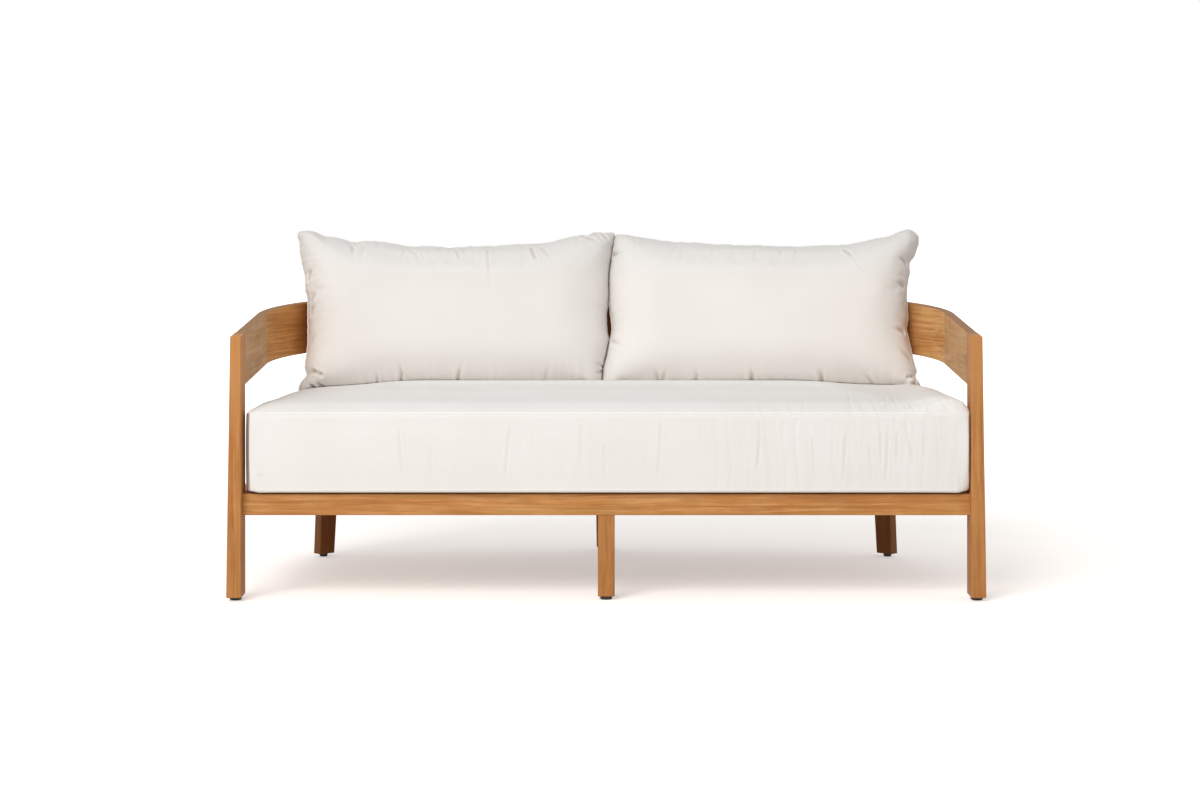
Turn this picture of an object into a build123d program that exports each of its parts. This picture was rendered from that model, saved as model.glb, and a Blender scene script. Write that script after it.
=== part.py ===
from build123d import *
from math import atan2, cos, degrees, hypot, radians, sin, sqrt, tan
import os

# Patio loveseat: a curved hardwood band on six legs, a slatted seat, a bench cushion and two back cushions.
# Lengths are millimetres. X runs across, Y from the front to the back, Z up.
# The origin is on the floor under the middle of the frame.

# Whole frame
seat_clear_width = 1630.0
overall_depth = 845.0

# Front legs, wider at the floor than under the arm
leg_foot_width = 34.0
leg_top_width = 25.0
leg_depth = 66.0
leg_edge_round = 3.0
middle_leg_width = 38.0
middle_leg_depth = 38.0

# Curved band that makes the arms and the back
band_thickness = 23.5
band_curve_radius = 411.0
band_front_top = 593.0
band_front_bottom = 476.0
band_top_slope = 4.13
band_bottom_slope = 3.35
band_edge_round = 2.5

# Rear posts, under the middle line of the band
post_foot_width = 45.0
post_top_width = 60.0
post_foot_thickness = 28.0
post_foot_angle = 45.0
post_top_angle = 49.5
post_edge_round = 2.5

# Seat rails
rail_bottom = 190.5
rail_height = 48.0
front_rail_thickness = 28.0
front_rail_recess = 22.0
rail_edge_round = 2.5
rail_edge_bevel = 2.0
bearer_width = 36.0

# Tenons and dowels
tenon_length = 20.0
tenon_thickness = 12.0
tenon_shoulder = 8.0
dowel_radius = 5.0
dowel_flutes = 8
dowel_length = 40.0
dowel_spread = 26.0
band_dowel_spread = 60.0
post_dowel_spread = 30.0
glue_gap = 0.15

# Slats on their ledgers
slat_count_each_side = 8
slat_side_room = 55.0
slat_width = 60.0
slat_thickness = 15.0
slat_end_gap = 2.0
slat_edge_bevel = 2.0
ledger_thickness = 20.0
ledger_height = 28.0

# Slat pins, driven flush with the slats
pin_radius = 2.5
pin_sides = 6
pin_length = 34.0
pin_gap = 0.1

# Glides under the legs
foot_height = 8.0
front_foot_radius = 13.5
rear_foot_radius = 10.0
foot_edge_bevel = 1.5
foot_stud_radius = 4.0
foot_stud_length = 20.0

# Bench cushion
cushion_gap = 0.3
seat_leg_gap = 7.0
seat_side_gap = 15.0
seat_front_inset = 8.0
seat_front_corner = 26.0
seat_boxing_height = 183.0
seat_boxing_bulge = 4.0
seat_hem_inset = 5.0
seat_crown_rise = 25.0
crown_front_share = 0.75
crown_side_share = 0.8
crown_inset_shares = (0.0, 0.07, 0.25, 0.58, 1.0)
crown_rise_shares = (0.0, 0.4, 0.76, 0.96, 1.0)

# Back cushions
pillow_side_room = 51.0
pillow_corner_height = 399.0
pillow_top_dip = 34.0
pillow_side_dip = 14.0
pillow_meeting_dip = 3.0
pillow_bottom_dip = 6.0
pillow_front_swell = 88.0
pillow_back_swell = 100.0
pillow_reach = 118.0
pillow_lean = 13.0
pillow_turn = 6.0
pillow_foot_rise = 2.0
pillow_foot_from_back = 213.0
pillow_corner_round = 10.0
pillow_full_corner_round = 70.0
pillow_middle_gap = 2.0
pillow_seat_gap = 0.5
pillow_band_gap = 1.0
swell_shares = (0.0, 0.3, 0.66, 0.9, 1.0)
reach_shares = (0.0, 0.07, 0.28, 0.62, 1.0)
dip_shares = (1.0, 0.8, 0.4, 0.12, -0.15)
cover_thickness = 1.5
fill_gap = 0.3

# Zip along the back of the bench cushion
zip_end_room = 17.5
zip_tape_width = 24.0
zip_tape_thickness = 1.2
zip_slider_length = 12.0
zip_slider_width = 9.0
zip_slider_thickness = 4.0
zip_pull_length = 28.0
zip_pull_width = 6.0
zip_pull_thickness = 1.6

# Overrun of cuts past the faces that they open
overrun = 20.0

# Places that follow from the sizes
half_clear = seat_clear_width / 2
band_outer_half = half_clear + band_thickness
band_middle_x = half_clear + band_thickness / 2
curve_x = band_outer_half - band_curve_radius
curve_y = overall_depth / 2 - band_curve_radius
band_inner_radius = band_curve_radius - band_thickness
band_middle_radius = band_curve_radius - band_thickness / 2
front_y = -overall_depth / 2
band_middle_y = overall_depth / 2 - band_thickness / 2
band_inner_y = overall_depth / 2 - band_thickness
leg_rear_y = front_y + leg_depth
rail_top = rail_bottom + rail_height
rail_middle = rail_bottom + rail_height / 2
rail_front_y = front_y + front_rail_recess
rail_back_y = rail_front_y + front_rail_thickness
slat_bottom = rail_top - slat_thickness
slat_pitch = (half_clear - slat_side_room) / slat_count_each_side
seat_bottom = rail_top + cushion_gap
seat_seam = seat_bottom + seat_boxing_height
seat_front_half = half_clear - seat_leg_gap
seat_side_half = half_clear - seat_side_gap
seat_front_run = overall_depth - band_curve_radius - seat_front_inset - seat_front_corner
seat_corner_radius = seat_side_half - curve_x
crown_front_reach = seat_front_run * crown_front_share
crown_side_reach = seat_corner_radius * crown_side_share
pillow_half_width = (half_clear - pillow_side_room) / 2
pillow_foot_height = seat_seam + pillow_foot_rise
pillow_foot_y = overall_depth / 2 - pillow_foot_from_back
zip_half_length = curve_x - zip_end_room


def along_slope(front_height, slope, y):
    """Height at y of an edge that rises evenly from the front of the frame."""
    return front_height + (y - front_y) * tan(radians(slope))


def slope_plane(front_height, slope):
    """Plane of the band's top or bottom edge, facing up."""
    return Plane(
        origin=(0, front_y, front_height),
        x_dir=(1, 0, 0),
        z_dir=(0, -sin(radians(slope)), cos(radians(slope))),
    )


def round_corner(radius, angle):
    """Place on a circle about the right rear corner's centre; 0 degrees is the side, 90 the back."""
    return (
        curve_x + radius * cos(radians(angle)),
        curve_y + radius * sin(radians(angle)),
    )


def board(x_span, y_span, z_span):
    """Straight board between two places on each axis."""
    with BuildPart() as piece:
        with BuildSketch(Plane.XY.offset(z_span[0])):
            with Locations((sum(x_span) / 2, sum(y_span) / 2)):
                Rectangle(x_span[1] - x_span[0], y_span[1] - y_span[0])
        extrude(amount=z_span[1] - z_span[0])
    return piece.part


def curved_board(inner, outer, start, end, z_span):
    """Board that bends round the right rear corner between two radii and two angles."""
    centre = (curve_x, curve_y)
    with BuildPart() as piece:
        with BuildSketch(Plane.XY.offset(z_span[0])):
            with BuildLine():
                outside = CenterArc(centre, outer, start, end - start)
                inside = CenterArc(centre, inner, start, end - start)
                Line(outside @ 0, inside @ 0)
                Line(outside @ 1, inside @ 1)
            make_face()
        extrude(amount=z_span[1] - z_span[0])
    return piece.part


def horseshoe(inset, z_span):
    """Solid that fills the band's inside, drawn in by inset, open to the front."""
    radius = band_inner_radius - inset
    side = curve_x + radius
    with BuildPart() as filled:
        with BuildSketch(Plane.XY.offset(z_span[0])):
            with BuildLine():
                right = CenterArc((curve_x, curve_y), radius, 0, 90)
                left = CenterArc((-curve_x, curve_y), radius, 90, 90)
                Line(right @ 1, left @ 0)
                Polyline(left @ 1, (-side, front_y), (side, front_y), right @ 0)
            make_face()
        extrude(amount=z_span[1] - z_span[0])
    return filled.part


# Rear posts: their centres at the floor and under the band
post_foot_place = round_corner(band_middle_radius, post_foot_angle)
post_top_place = round_corner(band_middle_radius, post_top_angle)
post_top_height = along_slope(band_front_bottom, band_bottom_slope, post_top_place[1])
middle_post_top_height = along_slope(band_front_bottom, band_bottom_slope, band_middle_y)
post_facing = (post_foot_angle + post_top_angle) / 2
post_tangent = (-sin(radians(post_facing)), cos(radians(post_facing)))
post_rail_share = (rail_middle - foot_height) / (post_top_height - foot_height)
post_rail_width = post_foot_width + (post_top_width - post_foot_width) * post_rail_share
post_rail_angle = post_foot_angle + (post_top_angle - post_foot_angle) * post_rail_share
post_half_angle = degrees(post_rail_width / 2 / band_middle_radius)


def post_blank(foot, top, top_height, tangent, edge_round=0.0, spread=0.0):
    """Tapered leaning post cut from two slanted profiles; spread thickens it into a cutter for the rails."""
    outward = (tangent[1], -tangent[0])
    rise = top_height - foot_height
    share = (rise + overrun) / rise
    flush = band_thickness / 2
    side_on = [(-width / 2, width / 2) for width in (post_foot_width, post_top_width)]
    thicknesses = (post_foot_thickness, band_thickness)
    end_on = [(flush - thickness - spread, flush + spread) for thickness in thicknesses]
    inward = (-tangent[0], -tangent[1])
    with BuildPart() as post:
        for across, facing, (low, high), mode in (
            (tangent, outward, side_on, Mode.ADD),
            (outward, inward, end_on, Mode.INTERSECT),
        ):
            shift = sum((top[i] - foot[i]) * across[i] for i in (0, 1)) * share
            head = [shift + low[i] + (high[i] - low[i]) * share for i in (0, 1)]
            with BuildSketch(Plane(origin=(*foot, foot_height), x_dir=(*across, 0), z_dir=(*facing, 0))):
                with BuildLine():
                    Polyline((low[0], 0), (low[1], 0), (head[1], rise + overrun), (head[0], rise + overrun), close=True)
                make_face()
            extrude(amount=post_top_width, both=True, mode=mode)
        split(bisect_by=slope_plane(band_front_bottom, band_bottom_slope), keep=Keep.BOTTOM)
        if edge_round:
            fillet(post.edges().filter_by(lambda edge: edge.length > rise / 2), radius=edge_round)
            chamfer(post.faces().sort_by(Axis.Z)[0].edges(), length=edge_round / 2)
    return post.part


def dowel_pair(origin, along, spread_along, spread, radius, length):
    """Two pegs through a joint; origin is the middle of the joint's face."""
    with BuildPart() as pegs:
        with BuildSketch(Plane(origin=origin, x_dir=spread_along, z_dir=along)):
            with Locations((-spread / 2, 0), (spread / 2, 0)):
                RegularPolygon(radius, dowel_flutes)
        extrude(amount=length / 2, both=True)
    return pegs.part


def band_middle_height(y):
    """Middle of the band's height at y."""
    top = along_slope(band_front_top, band_top_slope, y)
    return (top + along_slope(band_front_bottom, band_bottom_slope, y)) / 2


def rail_joint_places():
    """Middles and directions of the right side's dowelled rail joints, from the side to the back."""
    places = [((band_middle_x, curve_y, rail_middle), (0, 1, 0))]
    for angle in (post_rail_angle - post_half_angle, post_rail_angle + post_half_angle):
        x, y = round_corner(band_middle_radius, angle)
        places.append(((x, y, rail_middle), (*post_tangent, 0)))
    places.append(((curve_x, band_middle_y, rail_middle), (1, 0, 0)))
    places.append(((post_rail_width / 2, band_middle_y, rail_middle), (1, 0, 0)))
    return places


def rail_pegs(radius, length):
    """Dowels of the right side's seat rails."""
    with BuildPart() as pegs:
        for origin, along in rail_joint_places():
            add(dowel_pair(origin, along, (0, 0, 1), dowel_spread, radius, length))
    return pegs.part


def band_pegs(radius, length):
    """Dowels of the right half of the band, along it and down into the corner post."""
    upright = (0, 0, 1)
    with BuildPart() as pegs:
        for y in (leg_rear_y, curve_y):
            origin = (band_middle_x, y, band_middle_height(y))
            add(dowel_pair(origin, (0, 1, 0), upright, band_dowel_spread, radius, length))
        origin = (curve_x, band_middle_y, band_middle_height(band_middle_y))
        add(dowel_pair(origin, (1, 0, 0), upright, band_dowel_spread, radius, length))
        origin = (*post_top_place, post_top_height)
        add(dowel_pair(origin, upright, (*post_tangent, 0), post_dowel_spread, radius, length))
    return pegs.part


def middle_pegs(radius, length):
    """Dowels on the frame's middle line: rear post, front leg and bearer."""
    flat, upright = (1, 0, 0), (0, 0, 1)
    top = (0, band_middle_y, middle_post_top_height)
    leg_top = (0, rail_front_y + middle_leg_depth / 2, rail_bottom)
    with BuildPart() as pegs:
        add(dowel_pair(top, upright, flat, post_dowel_spread, radius, length))
        add(dowel_pair(leg_top, upright, flat, middle_leg_width / 2, radius, length))
        for y in (rail_back_y, bearer_rear_y):
            place = (0, y, rail_middle)
            add(dowel_pair(place, (0, 1, 0), flat, bearer_width / 2, radius, length))
    return pegs.part


def corner_tenon(gap):
    """Tenons of the front rail and the side rail in the right front leg, grown by gap for their mortises."""
    low, high = rail_bottom + tenon_shoulder - gap, rail_top - tenon_shoulder + gap
    middle_y = rail_front_y + front_rail_thickness / 2
    half = tenon_thickness / 2 + gap
    front = board(
        (half_clear, half_clear + tenon_length + gap),
        (middle_y - half, middle_y + half),
        (low, high),
    )
    side = board(
        (band_middle_x - half, band_middle_x + half),
        (leg_rear_y - tenon_length - gap, leg_rear_y),
        (low, high),
    )
    return front, side


# Bearer under the middle slat, between the front rail and the middle post
bearer_rear_y = band_middle_y - post_foot_thickness / 2
front_tenon, side_tenon = corner_tenon(0)
front_mortise, side_mortise = corner_tenon(glue_gap)

# Dowels, and the same shapes a little larger and longer for their holes
hole_radius = dowel_radius + glue_gap
hole_length = dowel_length + 2 * glue_gap
with BuildPart() as rail_dowels_right:
    add(rail_pegs(dowel_radius, dowel_length))
with BuildPart() as rail_dowels_left:
    mirror(rail_dowels_right.part, about=Plane.YZ)
with BuildPart() as band_dowels_right:
    add(band_pegs(dowel_radius, dowel_length))
with BuildPart() as band_dowels_left:
    mirror(band_dowels_right.part, about=Plane.YZ)
with BuildPart() as middle_dowels:
    add(middle_pegs(dowel_radius, dowel_length))
rail_holes = rail_pegs(hole_radius, hole_length)
band_holes = band_pegs(hole_radius, hole_length)
middle_holes = middle_pegs(hole_radius, hole_length)


def foot_places():
    """Centres of the six glides, by name."""
    front_x = half_clear + leg_foot_width / 2
    leg_y = front_y + leg_depth / 2
    post_x, post_y = post_foot_place
    return {
        "foot_front_left": (-front_x, leg_y),
        "foot_front_middle": (0, rail_front_y + middle_leg_depth / 2),
        "foot_front_right": (front_x, leg_y),
        "foot_rear_left": (-post_x, post_y),
        "foot_rear_middle": (0, band_middle_y),
        "foot_rear_right": (post_x, post_y),
    }


def glide(place, radius):
    """Round plastic glide with the stud that holds it in the leg."""
    with BuildPart() as foot:
        with BuildSketch():
            with Locations(place):
                Circle(radius)
        extrude(amount=foot_height)
        chamfer(foot.edges().sort_by(Axis.Z)[0], length=foot_edge_bevel)
        with BuildSketch(Plane.XY.offset(foot_height)):
            with Locations(place):
                Circle(foot_stud_radius)
        extrude(amount=foot_stud_length)
    return foot


feet = {
    name: glide(place, front_foot_radius if "front" in name else rear_foot_radius)
    for name, place in foot_places().items()
}
with BuildPart() as stud_holes:
    with BuildSketch(Plane.XY.offset(foot_height)):
        with Locations(*foot_places().values()):
            Circle(foot_stud_radius + glue_gap)
    extrude(amount=foot_stud_length + glue_gap)

# Right front leg: straight inside, its outer face leaning in towards the top
with BuildPart() as front_leg_right:
    with BuildSketch(Plane.XZ.offset(-front_y)):
        with BuildLine():
            Polyline(
                (half_clear, foot_height),
                (half_clear + leg_foot_width, foot_height),
                (half_clear + leg_top_width, band_front_top + overrun),
                (half_clear, band_front_top + overrun),
                close=True,
            )
        make_face()
    extrude(amount=-leg_depth)
    split(bisect_by=slope_plane(band_front_top, band_top_slope), keep=Keep.BOTTOM)
    front_edges = front_leg_right.faces().sort_by(Axis.Y)[0].edges()
    foot_edges = front_leg_right.faces().sort_by(Axis.Z)[0].edges()
    outer_edges = front_leg_right.faces().sort_by(Axis.X)[-1].edges()
    fillet(set(front_edges + foot_edges + outer_edges), radius=leg_edge_round)
    for cut in (front_mortise, side_mortise, band_holes, stud_holes.part):
        add(cut, mode=Mode.SUBTRACT)
with BuildPart() as front_leg_left:
    mirror(front_leg_right.part, about=Plane.YZ)

# Middle front leg, under the rail and flush with its face
with BuildPart() as front_leg_middle:
    add(
        board(
            (-middle_leg_width / 2, middle_leg_width / 2),
            (rail_front_y, rail_front_y + middle_leg_depth),
            (foot_height, rail_bottom),
        )
    )
    upright_edges = front_leg_middle.edges().filter_by(Axis.Z)
    foot_edges = front_leg_middle.faces().sort_by(Axis.Z)[0].edges()
    fillet(set(upright_edges + foot_edges), radius=leg_edge_round)
    add(middle_holes, mode=Mode.SUBTRACT)
    add(stud_holes.part, mode=Mode.SUBTRACT)

# Rear posts
with BuildPart() as rear_post_right:
    add(post_blank(post_foot_place, post_top_place, post_top_height, post_tangent, post_edge_round))
    for cut in (rail_holes, band_holes, stud_holes.part):
        add(cut, mode=Mode.SUBTRACT)
with BuildPart() as rear_post_left:
    mirror(rear_post_right.part, about=Plane.YZ)
with BuildPart() as rear_post_middle:
    middle_place = (0, band_middle_y)
    add(post_blank(middle_place, middle_place, middle_post_top_height, (1, 0), post_edge_round))
    for cut in (rail_holes, mirror(rail_holes, about=Plane.YZ, mode=Mode.PRIVATE), middle_holes, stud_holes.part):
        add(cut, mode=Mode.SUBTRACT)
corner_post_shape = (post_foot_place, post_top_place, post_top_height, post_tangent)
middle_post_shape = (middle_place, middle_place, middle_post_top_height, (1, 0))
corner_post_blank = post_blank(*corner_post_shape)
middle_post_blank = post_blank(*middle_post_shape)
corner_post_cutter = post_blank(*corner_post_shape, spread=overrun)
middle_post_cutter = post_blank(*middle_post_shape, spread=overrun)


def finish_band(piece, holes):
    """Cut a raised strip to the sloping top and bottom, ease its long edges and drill it."""
    with BuildPart() as band:
        add(piece)
        split(bisect_by=slope_plane(band_front_top, band_top_slope), keep=Keep.BOTTOM)
        split(bisect_by=slope_plane(band_front_bottom, band_bottom_slope), keep=Keep.TOP)
        rims = band.faces().sort_by(Axis.Z)[-1].edges() + band.faces().sort_by(Axis.Z)[0].edges()
        fillet(rims.filter_by(lambda edge: edge.length > 2 * band_thickness), radius=band_edge_round)
        for cut in holes:
            add(cut, mode=Mode.SUBTRACT)
    return band


blank_top = along_slope(band_front_top, band_top_slope, overall_depth / 2) + overrun
band_blank_span = (band_front_bottom - overrun, blank_top)
arm_band_right = finish_band(
    board((half_clear, band_outer_half), (leg_rear_y, curve_y), band_blank_span),
    [band_holes],
)
with BuildPart() as arm_band_left:
    mirror(arm_band_right.part, about=Plane.YZ)
corner_band_right = finish_band(
    curved_board(band_inner_radius, band_curve_radius, 0, 90, band_blank_span),
    [band_holes],
)
with BuildPart() as corner_band_left:
    mirror(corner_band_right.part, about=Plane.YZ)
left_band_holes = mirror(band_holes, about=Plane.YZ)
back_band = finish_band(
    board((-curve_x, curve_x), (band_inner_y, overall_depth / 2), band_blank_span),
    [band_holes, left_band_holes, middle_holes],
)

# Front rail, with a tenon in each front leg
rail_span = (rail_bottom, rail_top)
with BuildPart() as front_rail:
    add(board((-half_clear, half_clear), (rail_front_y, rail_back_y), rail_span))
    long_front_edges = front_rail.faces().sort_by(Axis.Y)[0].edges().filter_by(Axis.X)
    fillet(long_front_edges, radius=rail_edge_round)
    add(front_tenon)
    mirror(front_tenon, about=Plane.YZ)
    add(middle_holes, mode=Mode.SUBTRACT)


def eased_rail(piece, cuts):
    """Seat rail with its long edges bevelled, cut where posts and dowels meet it."""
    with BuildPart() as rail:
        add(piece)
        rims = rail.faces().sort_by(Axis.Z)[-1].edges() + rail.faces().sort_by(Axis.Z)[0].edges()
        chamfer(rims.filter_by(lambda edge: edge.length > 2 * band_thickness), length=rail_edge_bevel)
        for cut in cuts:
            add(cut, mode=Mode.SUBTRACT)
    return rail


side_rail_right = eased_rail(
    board((half_clear, band_outer_half), (leg_rear_y, curve_y), rail_span), [rail_holes]
)
with side_rail_right:
    add(side_tenon)
corner_rail_front_right = eased_rail(
    curved_board(band_inner_radius, band_curve_radius, 0, post_rail_angle, rail_span),
    [corner_post_cutter, rail_holes],
)
corner_rail_rear_right = eased_rail(
    curved_board(band_inner_radius, band_curve_radius, post_rail_angle, 90, rail_span),
    [corner_post_cutter, rail_holes],
)
rear_rail_right = eased_rail(
    board((0, curve_x), (band_inner_y, overall_depth / 2), rail_span),
    [middle_post_cutter, rail_holes],
)
with BuildPart() as side_rail_left:
    mirror(side_rail_right.part, about=Plane.YZ)
with BuildPart() as corner_rail_front_left:
    mirror(corner_rail_front_right.part, about=Plane.YZ)
with BuildPart() as corner_rail_rear_left:
    mirror(corner_rail_rear_right.part, about=Plane.YZ)
with BuildPart() as rear_rail_left:
    mirror(rear_rail_right.part, about=Plane.YZ)

# Bearer from the front rail to the middle post
with BuildPart() as centre_bearer:
    half_bearer = bearer_width / 2
    add(board((-half_bearer, half_bearer), (rail_back_y, band_middle_y), (rail_bottom, slat_bottom)))
    add(middle_post_blank, mode=Mode.SUBTRACT)
    add(middle_holes, mode=Mode.SUBTRACT)

# Ledgers inside the rails, which carry the slats
ledger_span = (slat_bottom - ledger_height, slat_bottom)
ledger_side_x = half_clear - ledger_thickness
ledger_front_y = rail_back_y + ledger_thickness
ledger_inner_radius = band_inner_radius - ledger_thickness
ledger_inner_y = band_inner_y - ledger_thickness


def pin_places():
    """Where the slat pins stand: one at each end of each slat."""
    places = []
    middle_radius = band_inner_radius - ledger_thickness / 2
    for number in range(-slat_count_each_side, slat_count_each_side + 1):
        x = number * slat_pitch
        past = max(abs(x) - curve_x, 0)
        places.append((x, rail_back_y + ledger_thickness / 2))
        places.append((x, curve_y + sqrt(middle_radius**2 - past**2)))
    return places


def pin_shapes(gap):
    """Pins through the slats into their ledgers, grown by gap for their holes."""
    with BuildPart() as pins:
        with BuildSketch(Plane.XY.offset(rail_top - pin_length - gap)):
            with Locations(*pin_places()):
                RegularPolygon(pin_radius + gap, pin_sides)
        extrude(amount=pin_length + gap)
    return pins.part


with BuildPart() as slat_pins:
    add(pin_shapes(0))
pin_holes = pin_shapes(pin_gap)


def ledger(piece):
    """Ledger drilled for the slat pins and notched round the posts."""
    with BuildPart() as cleat:
        add(piece)
        for cut in (corner_post_blank, middle_post_blank, pin_holes):
            add(cut, mode=Mode.SUBTRACT)
    return cleat


front_ledger_right = ledger(
    board((bearer_width / 2, half_clear), (rail_back_y, ledger_front_y), ledger_span)
)
side_ledger_right = ledger(
    board((ledger_side_x, half_clear), (ledger_front_y, curve_y), ledger_span)
)
corner_ledger_right = ledger(
    curved_board(ledger_inner_radius, band_inner_radius, 0, 90, ledger_span)
)
rear_ledger_right = ledger(
    board((bearer_width / 2, curve_x), (ledger_inner_y, band_inner_y), ledger_span)
)
with BuildPart() as front_ledger_left:
    mirror(front_ledger_right.part, about=Plane.YZ)
with BuildPart() as side_ledger_left:
    mirror(side_ledger_right.part, about=Plane.YZ)
with BuildPart() as corner_ledger_left:
    mirror(corner_ledger_right.part, about=Plane.YZ)
with BuildPart() as rear_ledger_left:
    mirror(rear_ledger_right.part, about=Plane.YZ)
with centre_bearer:
    add(pin_holes, mode=Mode.SUBTRACT)


def slats(numbers):
    """Slats from the front rail to the curved rear rails, their ends cut to the curve."""
    inside = horseshoe(slat_end_gap, (slat_bottom, rail_top))
    with BuildPart() as group:
        for number in numbers:
            middle = number * slat_pitch
            with BuildPart(mode=Mode.PRIVATE) as slat:
                add(
                    board(
                        (middle - slat_width / 2, middle + slat_width / 2),
                        (rail_back_y + slat_end_gap, band_inner_y),
                        (slat_bottom, rail_top),
                    )
                )
                add(inside, mode=Mode.INTERSECT)
                top_rims = slat.faces().sort_by(Axis.Z)[-1].edges().filter_by(Axis.Y)
                chamfer(top_rims, length=slat_edge_bevel)
            add(slat.part)
        for cut in (corner_post_blank, middle_post_blank, pin_holes):
            add(cut, mode=Mode.SUBTRACT)
        add(mirror(corner_post_blank, about=Plane.YZ, mode=Mode.PRIVATE), mode=Mode.SUBTRACT)
    return group


seat_slats_right = slats(range(1, slat_count_each_side + 1))
seat_slat_middle = slats([0])
with BuildPart() as seat_slats_left:
    mirror(seat_slats_right.part, about=Plane.YZ)


def seat_section(height, inset, crown=0.0):
    """Level outline of the bench cushion, drawn in by inset and by a share of its crown's reach."""
    side_inset = inset + crown_side_reach * crown
    front = front_y + seat_front_inset + inset + crown_front_reach * crown
    front_half = seat_front_half - side_inset
    radius = seat_corner_radius - side_inset
    corner = seat_front_corner
    corner_x = front_half - corner
    with BuildSketch(Plane.XY.offset(height)) as section:
        with BuildLine():
            Line((-corner_x, front), (corner_x, front))
            right_corner = CenterArc((corner_x, front + corner), corner, -90, 90)
            right = CenterArc((curve_x, curve_y), radius, 0, 90)
            Line(right_corner @ 1, right @ 0)
            left = CenterArc((-curve_x, curve_y), radius, 90, 90)
            Line(right @ 1, left @ 0)
            left_corner = CenterArc((-corner_x, front + corner), corner, 180, 90)
            Line(left @ 1, left_corner @ 0)
        make_face()
    return section.sketch


def seat_form(inset):
    """Bench cushion with bulged sides and a crowned top, shrunk by inset all round."""
    middle = (seat_bottom + seat_seam) / 2
    box = [
        seat_section(seat_bottom + inset, inset + seat_hem_inset),
        seat_section(middle, inset - seat_boxing_bulge),
        seat_section(seat_seam - inset, inset),
    ]
    crown = [
        seat_section(seat_seam - inset + seat_crown_rise * rise, inset, reach)
        for reach, rise in zip(crown_inset_shares, crown_rise_shares)
    ]
    with BuildPart() as form:
        loft(box)
        loft(crown)
    return form.part


with BuildPart() as seat_cushion_cover:
    add(seat_form(0))
    add(seat_form(cover_thickness), mode=Mode.SUBTRACT)
with BuildPart() as seat_cushion_foam:
    add(seat_form(cover_thickness + fill_gap))


def pillow_plane():
    """Seam plane of the right back cushion: leaning back, with its outer end turned forward."""
    turn, lean = radians(pillow_turn), radians(pillow_lean)
    half_width = pillow_half_width * cos(turn)
    across = (cos(turn), -sin(turn), 0)
    facing = (-sin(turn) * cos(lean), -cos(turn) * cos(lean), sin(lean))
    origin = (half_width + pillow_middle_gap, pillow_foot_y, pillow_foot_height)
    return Plane(origin=origin, x_dir=across, z_dir=facing)


def pillow_section(offset, reach, dip, corner):
    """Outline parallel to the seam plane, drawn in by reach, with its sides bowed inwards by dip."""
    half = pillow_half_width - reach
    low, high = reach, pillow_corner_height - reach
    middle = (low + high) / 2
    cut = corner * (1 - cos(radians(45)))
    top, foot = dip * pillow_top_dip, dip * pillow_bottom_dip
    side, meeting = dip * pillow_side_dip, dip * pillow_meeting_dip
    with BuildSketch(pillow_plane().offset(offset)) as section:
        with BuildLine():
            ThreePointArc((-half + corner, high), (0, high - top), (half - corner, high))
            ThreePointArc((half - corner, high), (half - cut, high - cut), (half, high - corner))
            ThreePointArc((half, high - corner), (half - side, middle), (half, low + corner))
            ThreePointArc((half, low + corner), (half - cut, low + cut), (half - corner, low))
            ThreePointArc((half - corner, low), (0, low + foot), (-half + corner, low))
            ThreePointArc((-half + corner, low), (-half + cut, low + cut), (-half, low + corner))
            ThreePointArc((-half, low + corner), (-half + meeting, middle), (-half, high - corner))
            ThreePointArc((-half, high - corner), (-half + cut, high - cut), (-half + corner, high))
        make_face()
    return section.sketch


def pillow_form(inset):
    """Right back cushion, full in the middle and sewn to an edge all round, shrunk by inset."""
    band_top = along_slope(band_front_top, band_top_slope, overall_depth / 2)
    pressed_span = (pillow_foot_height - overrun, band_top + pillow_band_gap)
    with BuildPart() as form:
        for swell in (pillow_front_swell - inset, inset - pillow_back_swell):
            sections = [
                pillow_section(
                    swell * rise,
                    inset + pillow_reach * reach,
                    dip,
                    pillow_corner_round + (pillow_full_corner_round - pillow_corner_round) * reach,
                )
                for rise, reach, dip in zip(swell_shares, reach_shares, dip_shares)
            ]
            loft(sections)
        add(seat_form(-pillow_seat_gap - inset), mode=Mode.SUBTRACT)
        with BuildPart(mode=Mode.PRIVATE) as pressed:
            add(
                board(
                    (0, band_outer_half + overrun),
                    (front_y, overall_depth / 2 + overrun),
                    pressed_span,
                )
            )
            add(horseshoe(pillow_band_gap + inset, pressed_span), mode=Mode.SUBTRACT)
        add(pressed.part, mode=Mode.SUBTRACT)
    return form.part


with BuildPart() as back_cushion_cover_right:
    add(pillow_form(0))
    add(pillow_form(cover_thickness), mode=Mode.SUBTRACT)
with BuildPart() as back_cushion_fill_right:
    add(pillow_form(cover_thickness + fill_gap))
with BuildPart() as back_cushion_cover_left:
    mirror(back_cushion_cover_right.part, about=Plane.YZ)
with BuildPart() as back_cushion_fill_left:
    mirror(back_cushion_fill_right.part, about=Plane.YZ)

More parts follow.
